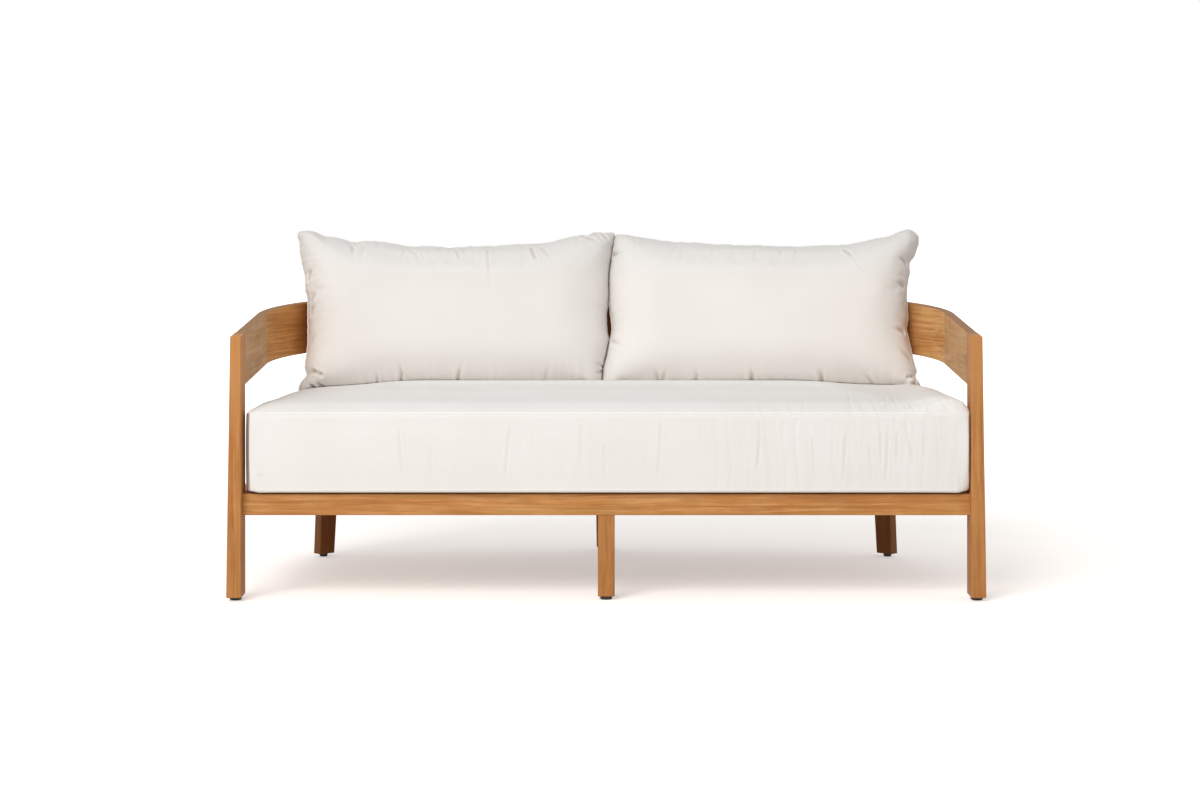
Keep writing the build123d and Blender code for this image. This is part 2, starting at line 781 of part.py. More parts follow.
# Zip on the back of the bench cushion: a flat tape and the slider that runs along it
zip_height = (seat_bottom + seat_seam) / 2
zip_tape_y = curve_y + seat_side_half - curve_x + seat_boxing_bulge + cushion_gap
zip_slider_y = zip_tape_y + zip_tape_thickness + cushion_gap
with BuildPart() as zip_tape:
    add(
        board(
            (-zip_half_length, zip_half_length),
            (zip_tape_y, zip_tape_y + zip_tape_thickness),
            (zip_height - zip_tape_width / 2, zip_height + zip_tape_width / 2),
        )
    )
with BuildPart() as zip_slider:
    slider_x = -zip_half_length + zip_slider_length
    add(
        board(
            (slider_x - zip_slider_length / 2, slider_x + zip_slider_length / 2),
            (zip_slider_y, zip_slider_y + zip_slider_thickness),
            (zip_height - zip_slider_width / 2, zip_height + zip_slider_width / 2),
        )
    )
    fillet(zip_slider.edges().filter_by(Axis.Y), radius=zip_slider_width / 4)
    pull_back = zip_slider_y + zip_slider_thickness
    pull_top = zip_height + zip_pull_width / 2
    add(
        board(
            (slider_x - zip_pull_width / 2, slider_x + zip_pull_width / 2),
            (pull_back, pull_back + zip_pull_thickness),
            (pull_top - zip_pull_length, pull_top),
        )
    )

pieces = {
    "front_leg_left": front_leg_left,
    "front_leg_middle": front_leg_middle,
    "front_leg_right": front_leg_right,
    "rear_post_left": rear_post_left,
    "rear_post_middle": rear_post_middle,
    "rear_post_right": rear_post_right,
    "arm_band_left": arm_band_left,
    "arm_band_right": arm_band_right,
    "corner_band_left": corner_band_left,
    "corner_band_right": corner_band_right,
    "back_band": back_band,
    "front_rail": front_rail,
    "side_rail_left": side_rail_left,
    "side_rail_right": side_rail_right,
    "corner_rail_front_left": corner_rail_front_left,
    "corner_rail_front_right": corner_rail_front_right,
    "corner_rail_rear_left": corner_rail_rear_left,
    "corner_rail_rear_right": corner_rail_rear_right,
    "rear_rail_left": rear_rail_left,
    "rear_rail_right": rear_rail_right,
    "centre_bearer": centre_bearer,
    "front_ledger_left": front_ledger_left,
    "front_ledger_right": front_ledger_right,
    "side_ledger_left": side_ledger_left,
    "side_ledger_right": side_ledger_right,
    "corner_ledger_left": corner_ledger_left,
    "corner_ledger_right": corner_ledger_right,
    "rear_ledger_left": rear_ledger_left,
    "rear_ledger_right": rear_ledger_right,
    "seat_slats_left": seat_slats_left,
    "seat_slat_middle": seat_slat_middle,
    "seat_slats_right": seat_slats_right,
    "slat_screws": slat_pins,
    "rail_dowels_left": rail_dowels_left,
    "rail_dowels_right": rail_dowels_right,
    "band_dowels_left": band_dowels_left,
    "band_dowels_right": band_dowels_right,
    "middle_dowels": middle_dowels,
    "seat_cushion_cover": seat_cushion_cover,
    "seat_cushion_foam": seat_cushion_foam,
    "zip_tape": zip_tape,
    "zip_slider": zip_slider,
    "back_cushion_cover_left": back_cushion_cover_left,
    "back_cushion_cover_right": back_cushion_cover_right,
    "back_cushion_fill_left": back_cushion_fill_left,
    "back_cushion_fill_right": back_cushion_fill_right,
    **feet,
}

os.makedirs("parts", exist_ok=True)
for name, piece in pieces.items():
    piece.part.label = name
    export_step(piece.part, f"parts/{name}.step")
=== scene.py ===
# %% [markdown]
# # A patio loveseat
# This lesson dresses a finished model of a garden sofa: a bent band of hardwood, six slim legs, a
# slatted seat, one bench cushion and two back cushions. The wood is exact already and only gets a
# finish. The cushions are replaced by cloth that is filled, sewn and creased here.

import math

import bmesh
import bpy
import numpy as np
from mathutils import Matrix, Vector
from mathutils.bvhtree import BVHTree


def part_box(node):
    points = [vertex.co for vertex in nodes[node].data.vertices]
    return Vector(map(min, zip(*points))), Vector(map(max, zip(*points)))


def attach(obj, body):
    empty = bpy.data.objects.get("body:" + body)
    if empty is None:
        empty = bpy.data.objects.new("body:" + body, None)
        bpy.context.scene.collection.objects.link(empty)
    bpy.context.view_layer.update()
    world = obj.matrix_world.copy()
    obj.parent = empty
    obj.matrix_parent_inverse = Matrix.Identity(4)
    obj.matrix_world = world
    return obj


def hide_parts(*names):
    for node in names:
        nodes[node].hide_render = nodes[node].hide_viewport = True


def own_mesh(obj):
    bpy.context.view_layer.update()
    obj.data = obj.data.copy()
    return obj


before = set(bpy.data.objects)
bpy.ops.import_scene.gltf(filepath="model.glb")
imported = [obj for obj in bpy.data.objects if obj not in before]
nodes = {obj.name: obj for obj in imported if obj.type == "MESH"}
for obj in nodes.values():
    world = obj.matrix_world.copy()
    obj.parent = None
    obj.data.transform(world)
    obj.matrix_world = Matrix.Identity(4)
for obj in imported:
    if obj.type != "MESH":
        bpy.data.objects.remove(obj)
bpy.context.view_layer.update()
bpy.ops.object.select_all(action="DESELECT")
print("nodes loaded:", len(nodes))

# %% [markdown]
# ## The camera
# The photograph was taken level, from a little above the back cushions, with its frame moved down,
# so the legs stay upright. A lens shift does that here.

# %% Place the camera
PHOTO_WIDTH, PHOTO_HEIGHT = 1200, 801
HORIZON_ROW = 197.4
PIXELS_PER_METRE = 448.0
CAMERA_X, CAMERA_DISTANCE, CAMERA_HEIGHT = -0.014, 5.6, 0.903
SENSOR_WIDTH = 36.0
front_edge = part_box("front_leg_left")[0].y
camera_place = (CAMERA_X, front_edge - CAMERA_DISTANCE, CAMERA_HEIGHT)
bpy.ops.object.camera_add(location=camera_place, rotation=(math.radians(90), 0, 0))
camera = bpy.context.object
camera.data.sensor_width = SENSOR_WIDTH
camera.data.lens = SENSOR_WIDTH * PIXELS_PER_METRE * CAMERA_DISTANCE / PHOTO_WIDTH
camera.data.shift_y = -(PHOTO_HEIGHT / 2 - HORIZON_ROW) / PHOTO_WIDTH
bpy.context.scene.camera = camera
print("lens", round(camera.data.lens, 2), "shift", round(camera.data.shift_y, 4))

# %% [markdown]
# ## Lines of sight
# Folds and seams are easiest to find in the picture, by column and row. A line of sight runs from
# the camera through such a place and meets the cloth where the fold is.


# %% From a place in the picture to a line in the room
def sight(column, row):
    across = (column - PHOTO_WIDTH / 2) / PIXELS_PER_METRE
    height = (HORIZON_ROW - row) / PIXELS_PER_METRE
    return Vector(camera.location), Vector((across, CAMERA_DISTANCE, height)).normalized()


def pairs(numbers):
    """Places in the picture, from columns and rows in turn."""
    return list(zip(numbers[::2], numbers[1::2]))


print("line through the middle:", sight(600, 400)[1])

# %% [markdown]
# ## Finishes as sums
# A finish is a small network of nodes. A class wraps a node's output so that it knows plus, minus
# and times: `0.4 + grain * 0.2` adds the Math nodes, and one method adds every other kind of node.


# %% A number that varies over a surface
def math_step(operation, swapped=False):
    """A method that adds one Math node, for a sum or a sine."""

    def step(self, *others):
        values = (*others, self) if swapped else (self, *others)
        return self.sum_node(operation, *values)

    return step


class Amount:
    """A node's output that can be used in sums."""

    def __init__(self, finish, socket):
        self.finish, self.socket = finish, socket

    def sum_node(self, operation, *values):
        return self.finish.node("ShaderNodeMath", dict(enumerate(values)), operation=operation)[0]

    __add__ = __radd__ = math_step("ADD")
    __sub__, __rsub__ = math_step("SUBTRACT"), math_step("SUBTRACT", swapped=True)
    __mul__ = __rmul__ = math_step("MULTIPLY")
    __pow__, __abs__ = math_step("POWER"), math_step("ABSOLUTE")
    sine, fraction, root = math_step("SINE"), math_step("FRACT"), math_step("SQRT")
    larger = math_step("MAXIMUM")

    def between(self, low, high):
        """0 below low, 1 above high and smooth in between."""
        inputs = {"Value": self, "From Min": low, "From Max": high}
        return self.finish.node("ShaderNodeMapRange", inputs, interpolation_type="SMOOTHSTEP")[0]


# %% A finish and its nodes
class Finish:
    """One material, built from expressions."""

    def __init__(self, name):
        self.material = bpy.data.materials.new(name)
        self.material.use_nodes = True
        self.tree = self.material.node_tree
        self.surface = self.tree.nodes["Principled BSDF"]

    def node(self, kind, inputs=None, **settings):
        """Adds a node; gives back its outputs by number or name."""
        made = self.tree.nodes.new(kind)
        for name, value in settings.items():
            setattr(made, name, value)
        for name, value in (inputs or {}).items():
            if isinstance(value, Amount):
                self.tree.links.new(value.socket, made.inputs[name])
            else:
                made.inputs[name].default_value = value
        return {key: Amount(self, s) for i, s in enumerate(made.outputs) for key in (i, s.name)}

    def split(self, vector):
        parts = self.node("ShaderNodeSeparateXYZ", {0: vector})
        return parts[0], parts[1], parts[2]

    def place(self):
        """The surface point's x, y and z in metres."""
        return self.split(self.node("ShaderNodeTexCoord")["Object"])

    def facing(self):
        """The way that the surface faces."""
        return self.split(self.node("ShaderNodeTexCoord")["Normal"])

    def vector(self, x, y, z):
        return self.node("ShaderNodeCombineXYZ", {0: x, 1: y, 2: z})[0]

    def noise(self, x, y, z, detail=2.0, roughness=0.5):
        inputs = {"Vector": self.vector(x, y, z), "Scale": 1.0}
        inputs.update({"Detail": detail, "Roughness": roughness})
        return self.node("ShaderNodeTexNoise", inputs)["Fac"]

    def mix(self, share, first, second):
        first, second = (c if isinstance(c, Amount) else (*c, 1) for c in (first, second))
        inputs = {"Factor": share, 6: first, 7: second}
        return self.node("ShaderNodeMix", inputs, data_type="RGBA")[2]

    def bump(self, height, strength, distance):
        inputs = {"Height": height, "Strength": strength, "Distance": distance}
        normal = self.node("ShaderNodeBump", inputs)[0]
        self.tree.links.new(normal.socket, self.surface.inputs["Normal"])

    def set(self, **values):
        """Sets sockets of the surface, such as Base_Color or Roughness."""
        for name, value in values.items():
            socket = self.surface.inputs[name.replace("_", " ")]
            if isinstance(value, Amount):
                self.tree.links.new(value.socket, socket)
            else:
                socket.default_value = value
        return self.material


def shade(red, green, blue):
    """A colour as read off a screen, 0 to 255, in the linear light that nodes use."""
    values = [c / 255 for c in (red, green, blue)]
    return tuple(v / 12.92 if v <= 0.04045 else ((v + 0.055) / 1.055) ** 2.4 for v in values)


def stained(colour, *shares):
    """A colour with its red, green and blue each taken to a share."""
    return tuple(c * s for c, s in zip(colour, shares))


def give_finish(name, material):
    """Puts one material on a piece of the model."""
    nodes[name].data.materials.clear()
    nodes[name].data.materials.append(material)


# %% [markdown]
# ## Oiled hardwood
# Each golden brown board shows rings as long streaks, soft blotches where the oil went in unevenly,
# fine dark pores, and a colour of its own. All this is worked out in space, along the grain and
# round the bends, so it has no seams at the corners. On the bands and front legs the upper faces
# are darker, the band's inner face behind the back cushions has their shade painted on, and the
# upper front of the legs and arms has light painted on. The rear posts are given a darker tone as
# painted shade.

# %% Directions along and across a board
bend_centre_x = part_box("corner_band_right")[0].x
bend_centre_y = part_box("corner_band_right")[0].y
bend_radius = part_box("corner_band_right")[1].x - bend_centre_x
bend = (bend_centre_x, bend_centre_y, bend_radius)
print("bend centre and radius:", [round(measure, 4) for measure in bend])
GRAIN_SHARE = 0.95


def board_directions(finish, lie):
    """Distances along the grain, across the face and into the board."""
    x, y, z = finish.place()
    if lie == "across":
        return x, z, y
    if lie == "deep":
        return y, z, x
    if lie == "upright":
        return z, x, y
    side, back = abs(x) - bend_centre_x, y - bend_centre_y
    angle = side.sum_node("ARCTAN2", back, side)
    return angle * (GRAIN_SHARE * bend_radius), z, (side**2 + back**2).root()


# %% The wood itself
RINGS_PER_METRE = 75
SEED_STEP = (1.7, 0.031, 0.053)
UPPER_FACE_TONE = shade(134, 90, 36)


def hardwood(name, lie, tone, seed, figure, dark_tops_and_painted_light):
    """Oiled board: tone is its colour, seed the part of the tree, figure how much grain shows."""
    wood = Finish(name)
    directions = board_directions(wood, lie)
    along, across, into = (way + seed * step for way, step in zip(directions, SEED_STEP))

    def stretched(length, width, *more):
        return wood.noise(along * length, across * width, into * width, *more)

    drift = stretched(2.2, 11, 4)
    from_heart = ((across + along * 0.02 + drift * 0.035) ** 2 + (into + 0.05) ** 2).root()
    ring = (from_heart * RINGS_PER_METRE + drift * 5).fraction()
    late = ring.between(0.2, 0.8) * (1 - ring.between(0.82, 1.0))
    streak = wood.noise(along * 4, across * 150 + drift * 3, into * 150, 5, 0.68)
    band = wood.noise(along * 1.8 + 5, across * 48 + drift * 2, into * 48, 3, 0.6)
    fibre = stretched(25, 700, 2, 0.6)
    blotch = stretched(16, 36, 3)
    patch = stretched(2.6, 12, 2)
    pores = stretched(50, 1200, 1).between(0.62, 0.74)
    golden, amber = stained(tone, 1.1, 1.15, 1.2), stained(tone, 0.9, 0.8, 0.64)
    body = wood.mix((patch * 0.55 + blotch * 0.45).between(0.38, 0.6), golden, amber)
    olive, brown = stained(tone, 0.98, 1.1, 1.04), stained(tone, 0.6, 0.48, 0.34)
    pale = stained(tone, 1.2, 1.28, 1.38)
    layers = (
        (band, 0.5, 0.68, 0.6, olive),
        (band, 0.46, 0.3, 0.4, brown),
        (streak, 0.5, 0.34, 0.6, brown),
        (streak, 0.53, 0.66, 0.75, pale),
    )
    for pattern, from_value, to_value, share, colour in layers:
        body = wood.mix(pattern.between(from_value, to_value) * (share * figure), body, colour)
    body = wood.mix(late * (0.16 * figure) + fibre * 0.12 - 0.03, body, brown)
    body = wood.mix(pores * 0.2, body, stained(brown, 0.6, 0.55, 0.5))
    if dark_tops_and_painted_light:
        x, y, z = wood.place()
        normal = wood.facing()
        # The upper faces of the bands and front legs are darker.
        body = wood.mix(normal[2].between(0.55, 0.9) * 0.92, body, UPPER_FACE_TONE)
        # Painted shade: the band's front-facing inner face behind the back cushions is darkened as
        # their shade.
        painted_cushion_shade = abs(x).between(0.795, 0.735) * (y - bend_centre_y).between(0.1, 0.2)
        painted_cushion_shade = painted_cushion_shade * (0 - normal[1]).between(0.1, 0.5)
        body = wood.mix(painted_cushion_shade * 0.85, body, stained(brown, 0.75, 0.66, 0.6))
        # Painted light: the upper front of the front legs and the arm bands' front ends are
        # lightened.
        painted_leg_light = (0 - y).between(0.35, 0.4) * z.between(0.38, 0.52)
        body = wood.mix(painted_leg_light * 0.75, body, stained(tone, 1.12, 1.2, 1.3))
    relief = fibre * 0.5 + late * (0.3 * figure) + streak * 0.5 - pores * 0.7
    wood.bump(relief, 0.3, 0.0004)
    wood.set(Base_Color=body, Roughness=0.52 + fibre * 0.18 - late * 0.05)
    return wood.set(Specular_IOR_Level=0.3)


LEG_TONE, MIDDLE_LEG_TONE = shade(181, 122, 67), shade(176, 118, 64)
ARM_TONE, RAIL_TONE = shade(188, 142, 94), shade(197, 141, 84)
BEND_TONE, BEND_RIGHT_TONE = shade(204, 142, 80), shade(206, 152, 96)
# Painted shade: the rear posts get a deeper, darker tone for the shade under the seat.
PAINTED_SHADE_TONE = shade(132, 80, 27)
woods = {
    "front_leg_left": ("upright", LEG_TONE, 1, 1.04),
    "front_leg_right": ("upright", LEG_TONE, 2, 1.17),
    "front_leg_middle": ("upright", MIDDLE_LEG_TONE, 3, 1.1),
    "rear_post": ("upright", PAINTED_SHADE_TONE, 4, 0.78),
    "arm_band_left": ("deep", ARM_TONE, 5, 0.91),
    "arm_band_right": ("deep", ARM_TONE, 6, 0.91),
    "corner_band_left": ("bent", BEND_TONE, 7, 1.3),
    "corner_band_right": ("bent", BEND_RIGHT_TONE, 8, 1.3),
    "back_band": ("across", BEND_TONE, 9, 1.17),
    "front_rail": ("across", RAIL_TONE, 10, 1.17),
}
plain_woods = (
    (1.04, {"side_rail": "deep", "corner_rail": "bent", "rear_rail": "across"}),
    (1.04, {"centre_bearer": "deep", "front_ledger": "across", "rear_ledger": "across"}),
    (1.04, {"side_ledger": "deep", "corner_ledger": "bent"}),
    (1.17, {"seat_slat": "deep"}),
    (0.65, {"rail_dowels": "deep", "band_dowels": "deep", "middle_dowels": "deep"}),
)
for figure, pieces in plain_woods:
    for start, lie in pieces.items():
        woods[start] = (lie, RAIL_TONE, len(woods) + 1, figure)
for start, (lie, tone, seed, figure) in woods.items():
    dark_tops_and_painted_light = "_band" in start or "front_leg" in start
    material = hardwood("wood_" + start, lie, tone, seed, figure, dark_tops_and_painted_light)
    for name in [n for n in nodes if n.startswith(start)]:
        give_finish(name, material)
print("wooden pieces finished:", sum(1 for n in nodes if any(n.startswith(s) for s in woods)))

# %% [markdown]
# ## Small hardware
# The glides are moulded black plastic, the screws and the zip slider satin steel. They are tiny, so
# one noise each for colour, roughness and relief is enough.


# %% Plastic, steel and the zip
TOOTH_PITCH, RIB_PITCH = 0.0025, 0.0012


def grained(name, scales, relief, dark, light, roughness, metal=0.0):
    """A small part's finish: one noise for its colour, roughness and relief."""
    finish = Finish(name)
    grain = finish.noise(*(way * scale for way, scale in zip(finish.place(), scales)))
    finish.bump(grain, *relief)
    tint = finish.mix(grain, dark, light)
    return finish.set(Base_Color=tint, Metallic=metal, Roughness=roughness + grain * 0.2)


def zip_cloth():
    tape = Finish("zip_tape_cloth")
    x, y, z = tape.place()
    on_chain = 1 - (abs(z - zip_height) * 1000).between(1.8, 2.6)
    teeth = (x * (2 * math.pi / TOOTH_PITCH)).sine() * on_chain
    ribs = (z * (2 * math.pi / RIB_PITCH)).sine()
    tape.bump(teeth * 0.8 + ribs * 0.2, 0.5, 0.0005)
    tint = tape.mix(teeth.between(-0.2, 0.6), shade(222, 217, 207), shade(238, 235, 228))
    return tape.set(Base_Color=tint, Roughness=0.75 - teeth * 0.1)


zip_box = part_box("zip_tape")
zip_height = (zip_box[0].z + zip_box[1].z) / 2
black, soft_black = (0.012, 0.012, 0.012), (0.022, 0.021, 0.02)
grey, light_grey = (0.5, 0.49, 0.46), (0.62, 0.61, 0.58)
plastic = grained("black_glide_plastic", (900, 900, 900), (0.3, 0.0003), black, soft_black, 0.45)
steel = grained("satin_steel", (2500, 300, 300), (0.15, 0.0001), grey, light_grey, 0.3, metal=1.0)
hardware = {n: plastic for n in nodes if n.startswith("foot_")}
hardware.update({"slat_screws": steel, "zip_slider": steel, "zip_tape": zip_cloth()})
for name, material in hardware.items():
    give_finish(name, material)
print("hardware finished:", sorted(hardware))

# %% [markdown]
# ## Woven ivory cloth
# The covers are a plain outdoor weave. From afar it shows as a soft, uneven colour, and close up as
# crossing threads. It is worked out on three flat directions, blended by the way the surface faces.
# Each cushion carries a value on its points, written as it is creased and sewn, that paints shade:
# the cloth turns warmer and darker in its folds, beside its seams and along its foot.


# %% The weave
THREAD_PITCH, STITCH_PITCH = 0.0016, 0.0035


def woven_cloth(name, base, warm, low=None, high=None):
    """Plain weave: base drifts into warm; low and high are painted shade at a cushion's foot and
    top.
    """
    cloth = Finish(name)
    x, y, z = cloth.place()
    to_side, to_front, up = (abs(part).between(0.35, 0.75) for part in cloth.facing())
    wobble = cloth.noise(x * 40, y * 40, z * 40) * 6
    turns = 2 * math.pi / THREAD_PITCH
    by_x, by_y, by_z = ((place * turns + wobble).sine() for place in (x, y, z))
    weave = by_x * by_z * to_front + by_x * by_y * up + by_y * by_z * to_side
    slub = cloth.noise(x * 180, y * 180, z * 420, detail=2)
    soft = cloth.noise(x * 5, y * 5, z * 5, detail=3)
    painted_shade = cloth.node("ShaderNodeAttribute", attribute_name="painted_shade")["Fac"]
    tint = cloth.mix(soft.between(0.3, 0.75), base, warm)
    # Painted shade: the back cushions turn warmer and darker towards their foot and greyer at their
    # top.
    if low:
        tint = cloth.mix(z.between(0.7, 0.42) * 0.2, tint, low)
        tint = cloth.mix(z.between(0.66, 0.82), tint, high)
    thin = weave.between(0.2, -0.9) * 0.18 + slub * 0.06
    tint = cloth.mix(thin, tint, stained(warm, 0.8, 0.78, 0.76))
    # Painted shade: warmer and darker cloth where creases, seams and the foot are marked on the
    # points.
    tint = cloth.mix(painted_shade.between(0.0, 1.0), tint, stained(warm, 0.74, 0.65, 0.58))
    cloth.bump(weave * 0.6 + slub * 0.6, 0.3, 0.0005)
    cloth.set(Base_Color=tint, Roughness=0.88 + slub * 0.08)
    return cloth.set(Sheen_Weight=0.08, Sheen_Roughness=0.5, Specular_IOR_Level=0.2)


def welt_cloth_finish():
    """Piping: the same cloth cut on the slant, coloured lighter as a painted highlight, with a row
    of stitches along it.
    """
    piping = Finish("ivory_welt")
    run = piping.node("ShaderNodeAttribute", attribute_name="run")["Fac"]
    turn = piping.node("ShaderNodeAttribute", attribute_name="turn")["Fac"]
    slant = ((run * (2 * math.pi / THREAD_PITCH)) + turn * (2 * math.pi)).sine()
    stitch = (run * (2 * math.pi / STITCH_PITCH)).sine().between(-0.3, 0.3)
    thin = slant.between(0.3, -0.9) * 0.25
    # Painted highlight: the piping is lighter than the cloth, as if it caught the light.
    tint = piping.mix(thin, shade(246, 242, 238), shade(222, 215, 208))
    tint = piping.mix(stitch * 0.15, tint, shade(248, 245, 240))
    piping.bump(slant * 0.5 + stitch * 0.4, 0.3, 0.0004)
    piping.set(Base_Color=tint, Roughness=0.85 + slant * 0.05)
    return piping.set(Sheen_Weight=0.08, Specular_IOR_Level=0.2)


ivory = woven_cloth("ivory_cloth", shade(236, 234, 231), shade(233, 231, 227))
back_shades = ((236, 233, 229), (233, 229, 224), (234, 227, 223), (223, 221, 218))
ivory_back = woven_cloth("ivory_cloth_back", *(shade(*value) for value in back_shades))
welt_cloth = welt_cloth_finish()
print("cloths:", ivory.name, welt_cloth.name)

# %% [markdown]
# ## From solid to cloth
# A cushion is cloth pushed out by its filling. The filling's surface is rebuilt with even faces and
# drawn back onto the solid. A cloth simulation then blows it up a little, up to a set distance.
# Seams and creases are pressed in afterwards.


# %% Copy a filling as an even mesh
def on_its_own(piece):
    bpy.ops.object.select_all(action="DESELECT")
    piece.select_set(True)
    bpy.context.view_layer.objects.active = piece


def keep_result(piece, modifier):
    """Turns what a modifier shows into the piece's own mesh."""
    on_its_own(piece)
    bpy.ops.object.modifier_apply(modifier=modifier.name)


def soft_shading(data):
    data.polygons.foreach_set("use_smooth", [True] * len(data.polygons))


def filling_surface(node, name, voxel):
    """New object with the node's outer surface in even faces."""
    piece = bpy.data.objects.new(name, nodes[node].data.copy())
    bpy.context.scene.collection.objects.link(piece)
    piece.data.materials.clear()
    on_its_own(piece)
    bpy.ops.object.mode_set(mode="EDIT")
    bpy.ops.mesh.select_all(action="SELECT")
    bpy.ops.mesh.remove_doubles(threshold=0.00002)
    bpy.ops.mesh.normals_make_consistent(inside=False)
    bpy.ops.object.mode_set(mode="OBJECT")
    piece.data.remesh_voxel_size = voxel
    bpy.ops.object.voxel_remesh()
    settle = piece.modifiers.new("settle", "SHRINKWRAP")
    settle.target = nodes[node]
    keep_result(piece, settle)
    print(name, "faces after remesh:", len(piece.data.polygons))
    return piece


def points_of(piece, kind="co"):
    values = np.empty(len(piece.data.vertices) * 3, np.float32)
    piece.data.vertices.foreach_get(kind, values)
    return values.reshape(-1, 3).astype(float)


def move_points(piece, points):
    piece.data.vertices.foreach_set("co", points.astype(np.float32).ravel())
    piece.data.update()


def mesh_of(piece):
    mesh = bmesh.new()
    mesh.from_mesh(piece.data)
    return mesh


def tree_of(piece):
    """The piece's surface, ready to be met by lines."""
    mesh = mesh_of(piece)
    tree = BVHTree.FromBMesh(mesh)
    mesh.free()
    return tree


def ease(share):
    """0 below 0, 1 above 1 and smooth in between."""
    share = np.clip(share, 0, 1)
    return share * share * (3 - 2 * share)


# %% Blow the cloth up
PUFF_FRAMES = 14


def puff(piece, pressure, cap):
    """Cloth simulation with the filling's pressure; no point moves further than cap."""
    before = points_of(piece)
    cloth = piece.modifiers.new("cloth", "CLOTH")
    sheet = {"quality": 4, "mass": 0.25, "shear_stiffness": 6, "bending_stiffness": 0.4}
    sheet.update({"tension_stiffness": 12, "compression_stiffness": 12})
    sheet.update({"use_pressure": True, "uniform_pressure_force": pressure})
    for name, value in sheet.items():
        setattr(cloth.settings, name, value)
    cloth.settings.effector_weights.gravity = 0
    cloth.collision_settings.use_collision = False
    cloth.point_cache.frame_start, cloth.point_cache.frame_end = 1, PUFF_FRAMES
    for number in range(1, PUFF_FRAMES + 1):
        bpy.context.scene.frame_set(number)
    keep_result(piece, cloth)
    bpy.context.scene.frame_set(1)
    shift = points_of(piece) - before
    length = np.linalg.norm(shift, axis=1, keepdims=True)
    move_points(piece, before + shift * np.minimum(1, cap / np.maximum(length, 1e-9)))
    held = int((length > cap).sum())
    print(piece.name, "points held at", cap * 1000, "mm:", held, "of", len(length))


EVERY_WAY = {"use_axis_x": True, "use_axis_y": True, "use_axis_z": True}


def smooth(piece):
    """Evens out the steps that the remesh leaves."""
    mesh = mesh_of(piece)
    bmesh.ops.smooth_vert(mesh, verts=mesh.verts, factor=0.5, **EVERY_WAY)
    mesh.to_mesh(piece.data)
    mesh.free()


def even_out(piece, weights, rounds):
    """Smooths strongly where the weights, one for each point, are near 1."""
    group = piece.vertex_groups.new(name="even")
    for number in np.flatnonzero(weights > 0.01):
        group.add([int(number)], float(weights[number]), "REPLACE")
    calm = piece.modifiers.new("calm", "SMOOTH")
    calm.factor, calm.iterations, calm.vertex_group = 0.5, rounds, group.name
    keep_result(piece, calm)
    piece.vertex_groups.clear()


def refine(piece):
    """One finer level and soft shading."""
    subdivide = piece.modifiers.new("subdivide", "SUBSURF")
    subdivide.levels = subdivide.render_levels = 1
    keep_result(piece, subdivide)
    soft_shading(piece.data)


def finer(piece, chosen):
    """Cuts the faces between the chosen points into four, where fine folds need them."""
    mesh = mesh_of(piece)
    edges = [edge for edge in mesh.edges if all(chosen[end.index] for end in edge.verts)]
    made = bmesh.ops.subdivide_edges(mesh, edges=edges, cuts=1, use_grid_fill=True)
    new = [item for item in made["geom_inner"] if isinstance(item, bmesh.types.BMVert)]
    bmesh.ops.smooth_vert(mesh, verts=new, factor=0.5, **EVERY_WAY)
    bmesh.ops.recalc_face_normals(mesh, faces=mesh.faces)
    mesh.to_mesh(piece.data)
    mesh.free()
    soft_shading(piece.data)
    print(piece.name, "faces after finer cutting:", len(piece.data.polygons))


# %% [markdown]
# ## Creases and welts
# A crease is a shallow valley with a low ridge on each side, deepest where it starts at a seam. It
# is given by places in the picture and pressed in where lines of sight meet the cloth. A welt is a
# thin cord in a strip of cloth, sewn into a seam: a round tube swept along it.


# %% Press creases into a cushion
def meet(tree, place):
    """Where a line of sight meets the cloth, or passes nearest to it."""
    start, way = sight(*place)
    hit = tree.ray_cast(start, way)[0]
    point = hit or start + way * (CAMERA_DISTANCE + 0.5)
    for _ in range(0 if hit else 5):
        point = tree.find_nearest(start + way * (point - start).dot(way))[0]
    return point


def press(piece, creases, both_ends, tint):
    """Each crease is width, depth (mm), columns and rows; a crease as deep as tint gets full
    painted shade.
    """
    tree = tree_of(piece)
    points, normals = points_of(piece), points_of(piece, "normal")
    sink, painted_shade = np.zeros(len(points)), np.zeros(len(points))
    for width, depth, *places in creases:
        line = np.array([meet(tree, place) for place in pairs(places)])
        width, depth = width / 1000, depth / 1000
        runs = np.linalg.norm(np.diff(line, axis=0), axis=1)
        total, passed = runs.sum(), 0.0
        nearest, share = np.full(len(points), np.inf), np.zeros(len(points))
        for start, end, run in zip(line[:-1], line[1:], runs):
            step = (end - start) / run
            part = np.clip((points - start) @ step, 0, run)
            away = np.linalg.norm(points - start - part[:, None] * step, axis=1)
            closer = away < nearest
            nearest[closer], share[closer] = away[closer], (passed + part[closer]) / total
            passed += run
        taper = ease((1 - share) / (0.3 if both_ends else 0.9))
        taper = taper * ease(share / 0.15) if both_ends else taper
        valley = np.exp(-((nearest / width) ** 2))
        ridge = np.exp(-(((nearest - 2.1 * width) / width) ** 2))
        sink += depth * taper * (ridge * 0.4 - valley)
        # Painted shade in the crease's valley, kept on the points for the finish.
        painted_shade = np.maximum(painted_shade, valley * taper * min(1.0, depth / tint))
    move_points(piece, points + normals * sink[:, None])
    note(piece, "painted_shade", painted_shade)
    print(piece.name, "creases pressed:", len(creases))


def gathers(places, seed, shortest, longest, count=16):
    """Uneven small waves, with sharp valleys and round crests, as cloth makes along a seam."""
    chance = np.random.default_rng(seed)
    total = np.zeros(len(places))
    periods = chance.uniform(shortest, longest, count)
    for period, phase in zip(periods, chance.uniform(0, 2 * math.pi, count)):
        total += np.sin(2 * math.pi * places / period + phase)
    return np.sqrt((total / math.sqrt(count)) ** 2 + 0.02) - 0.6


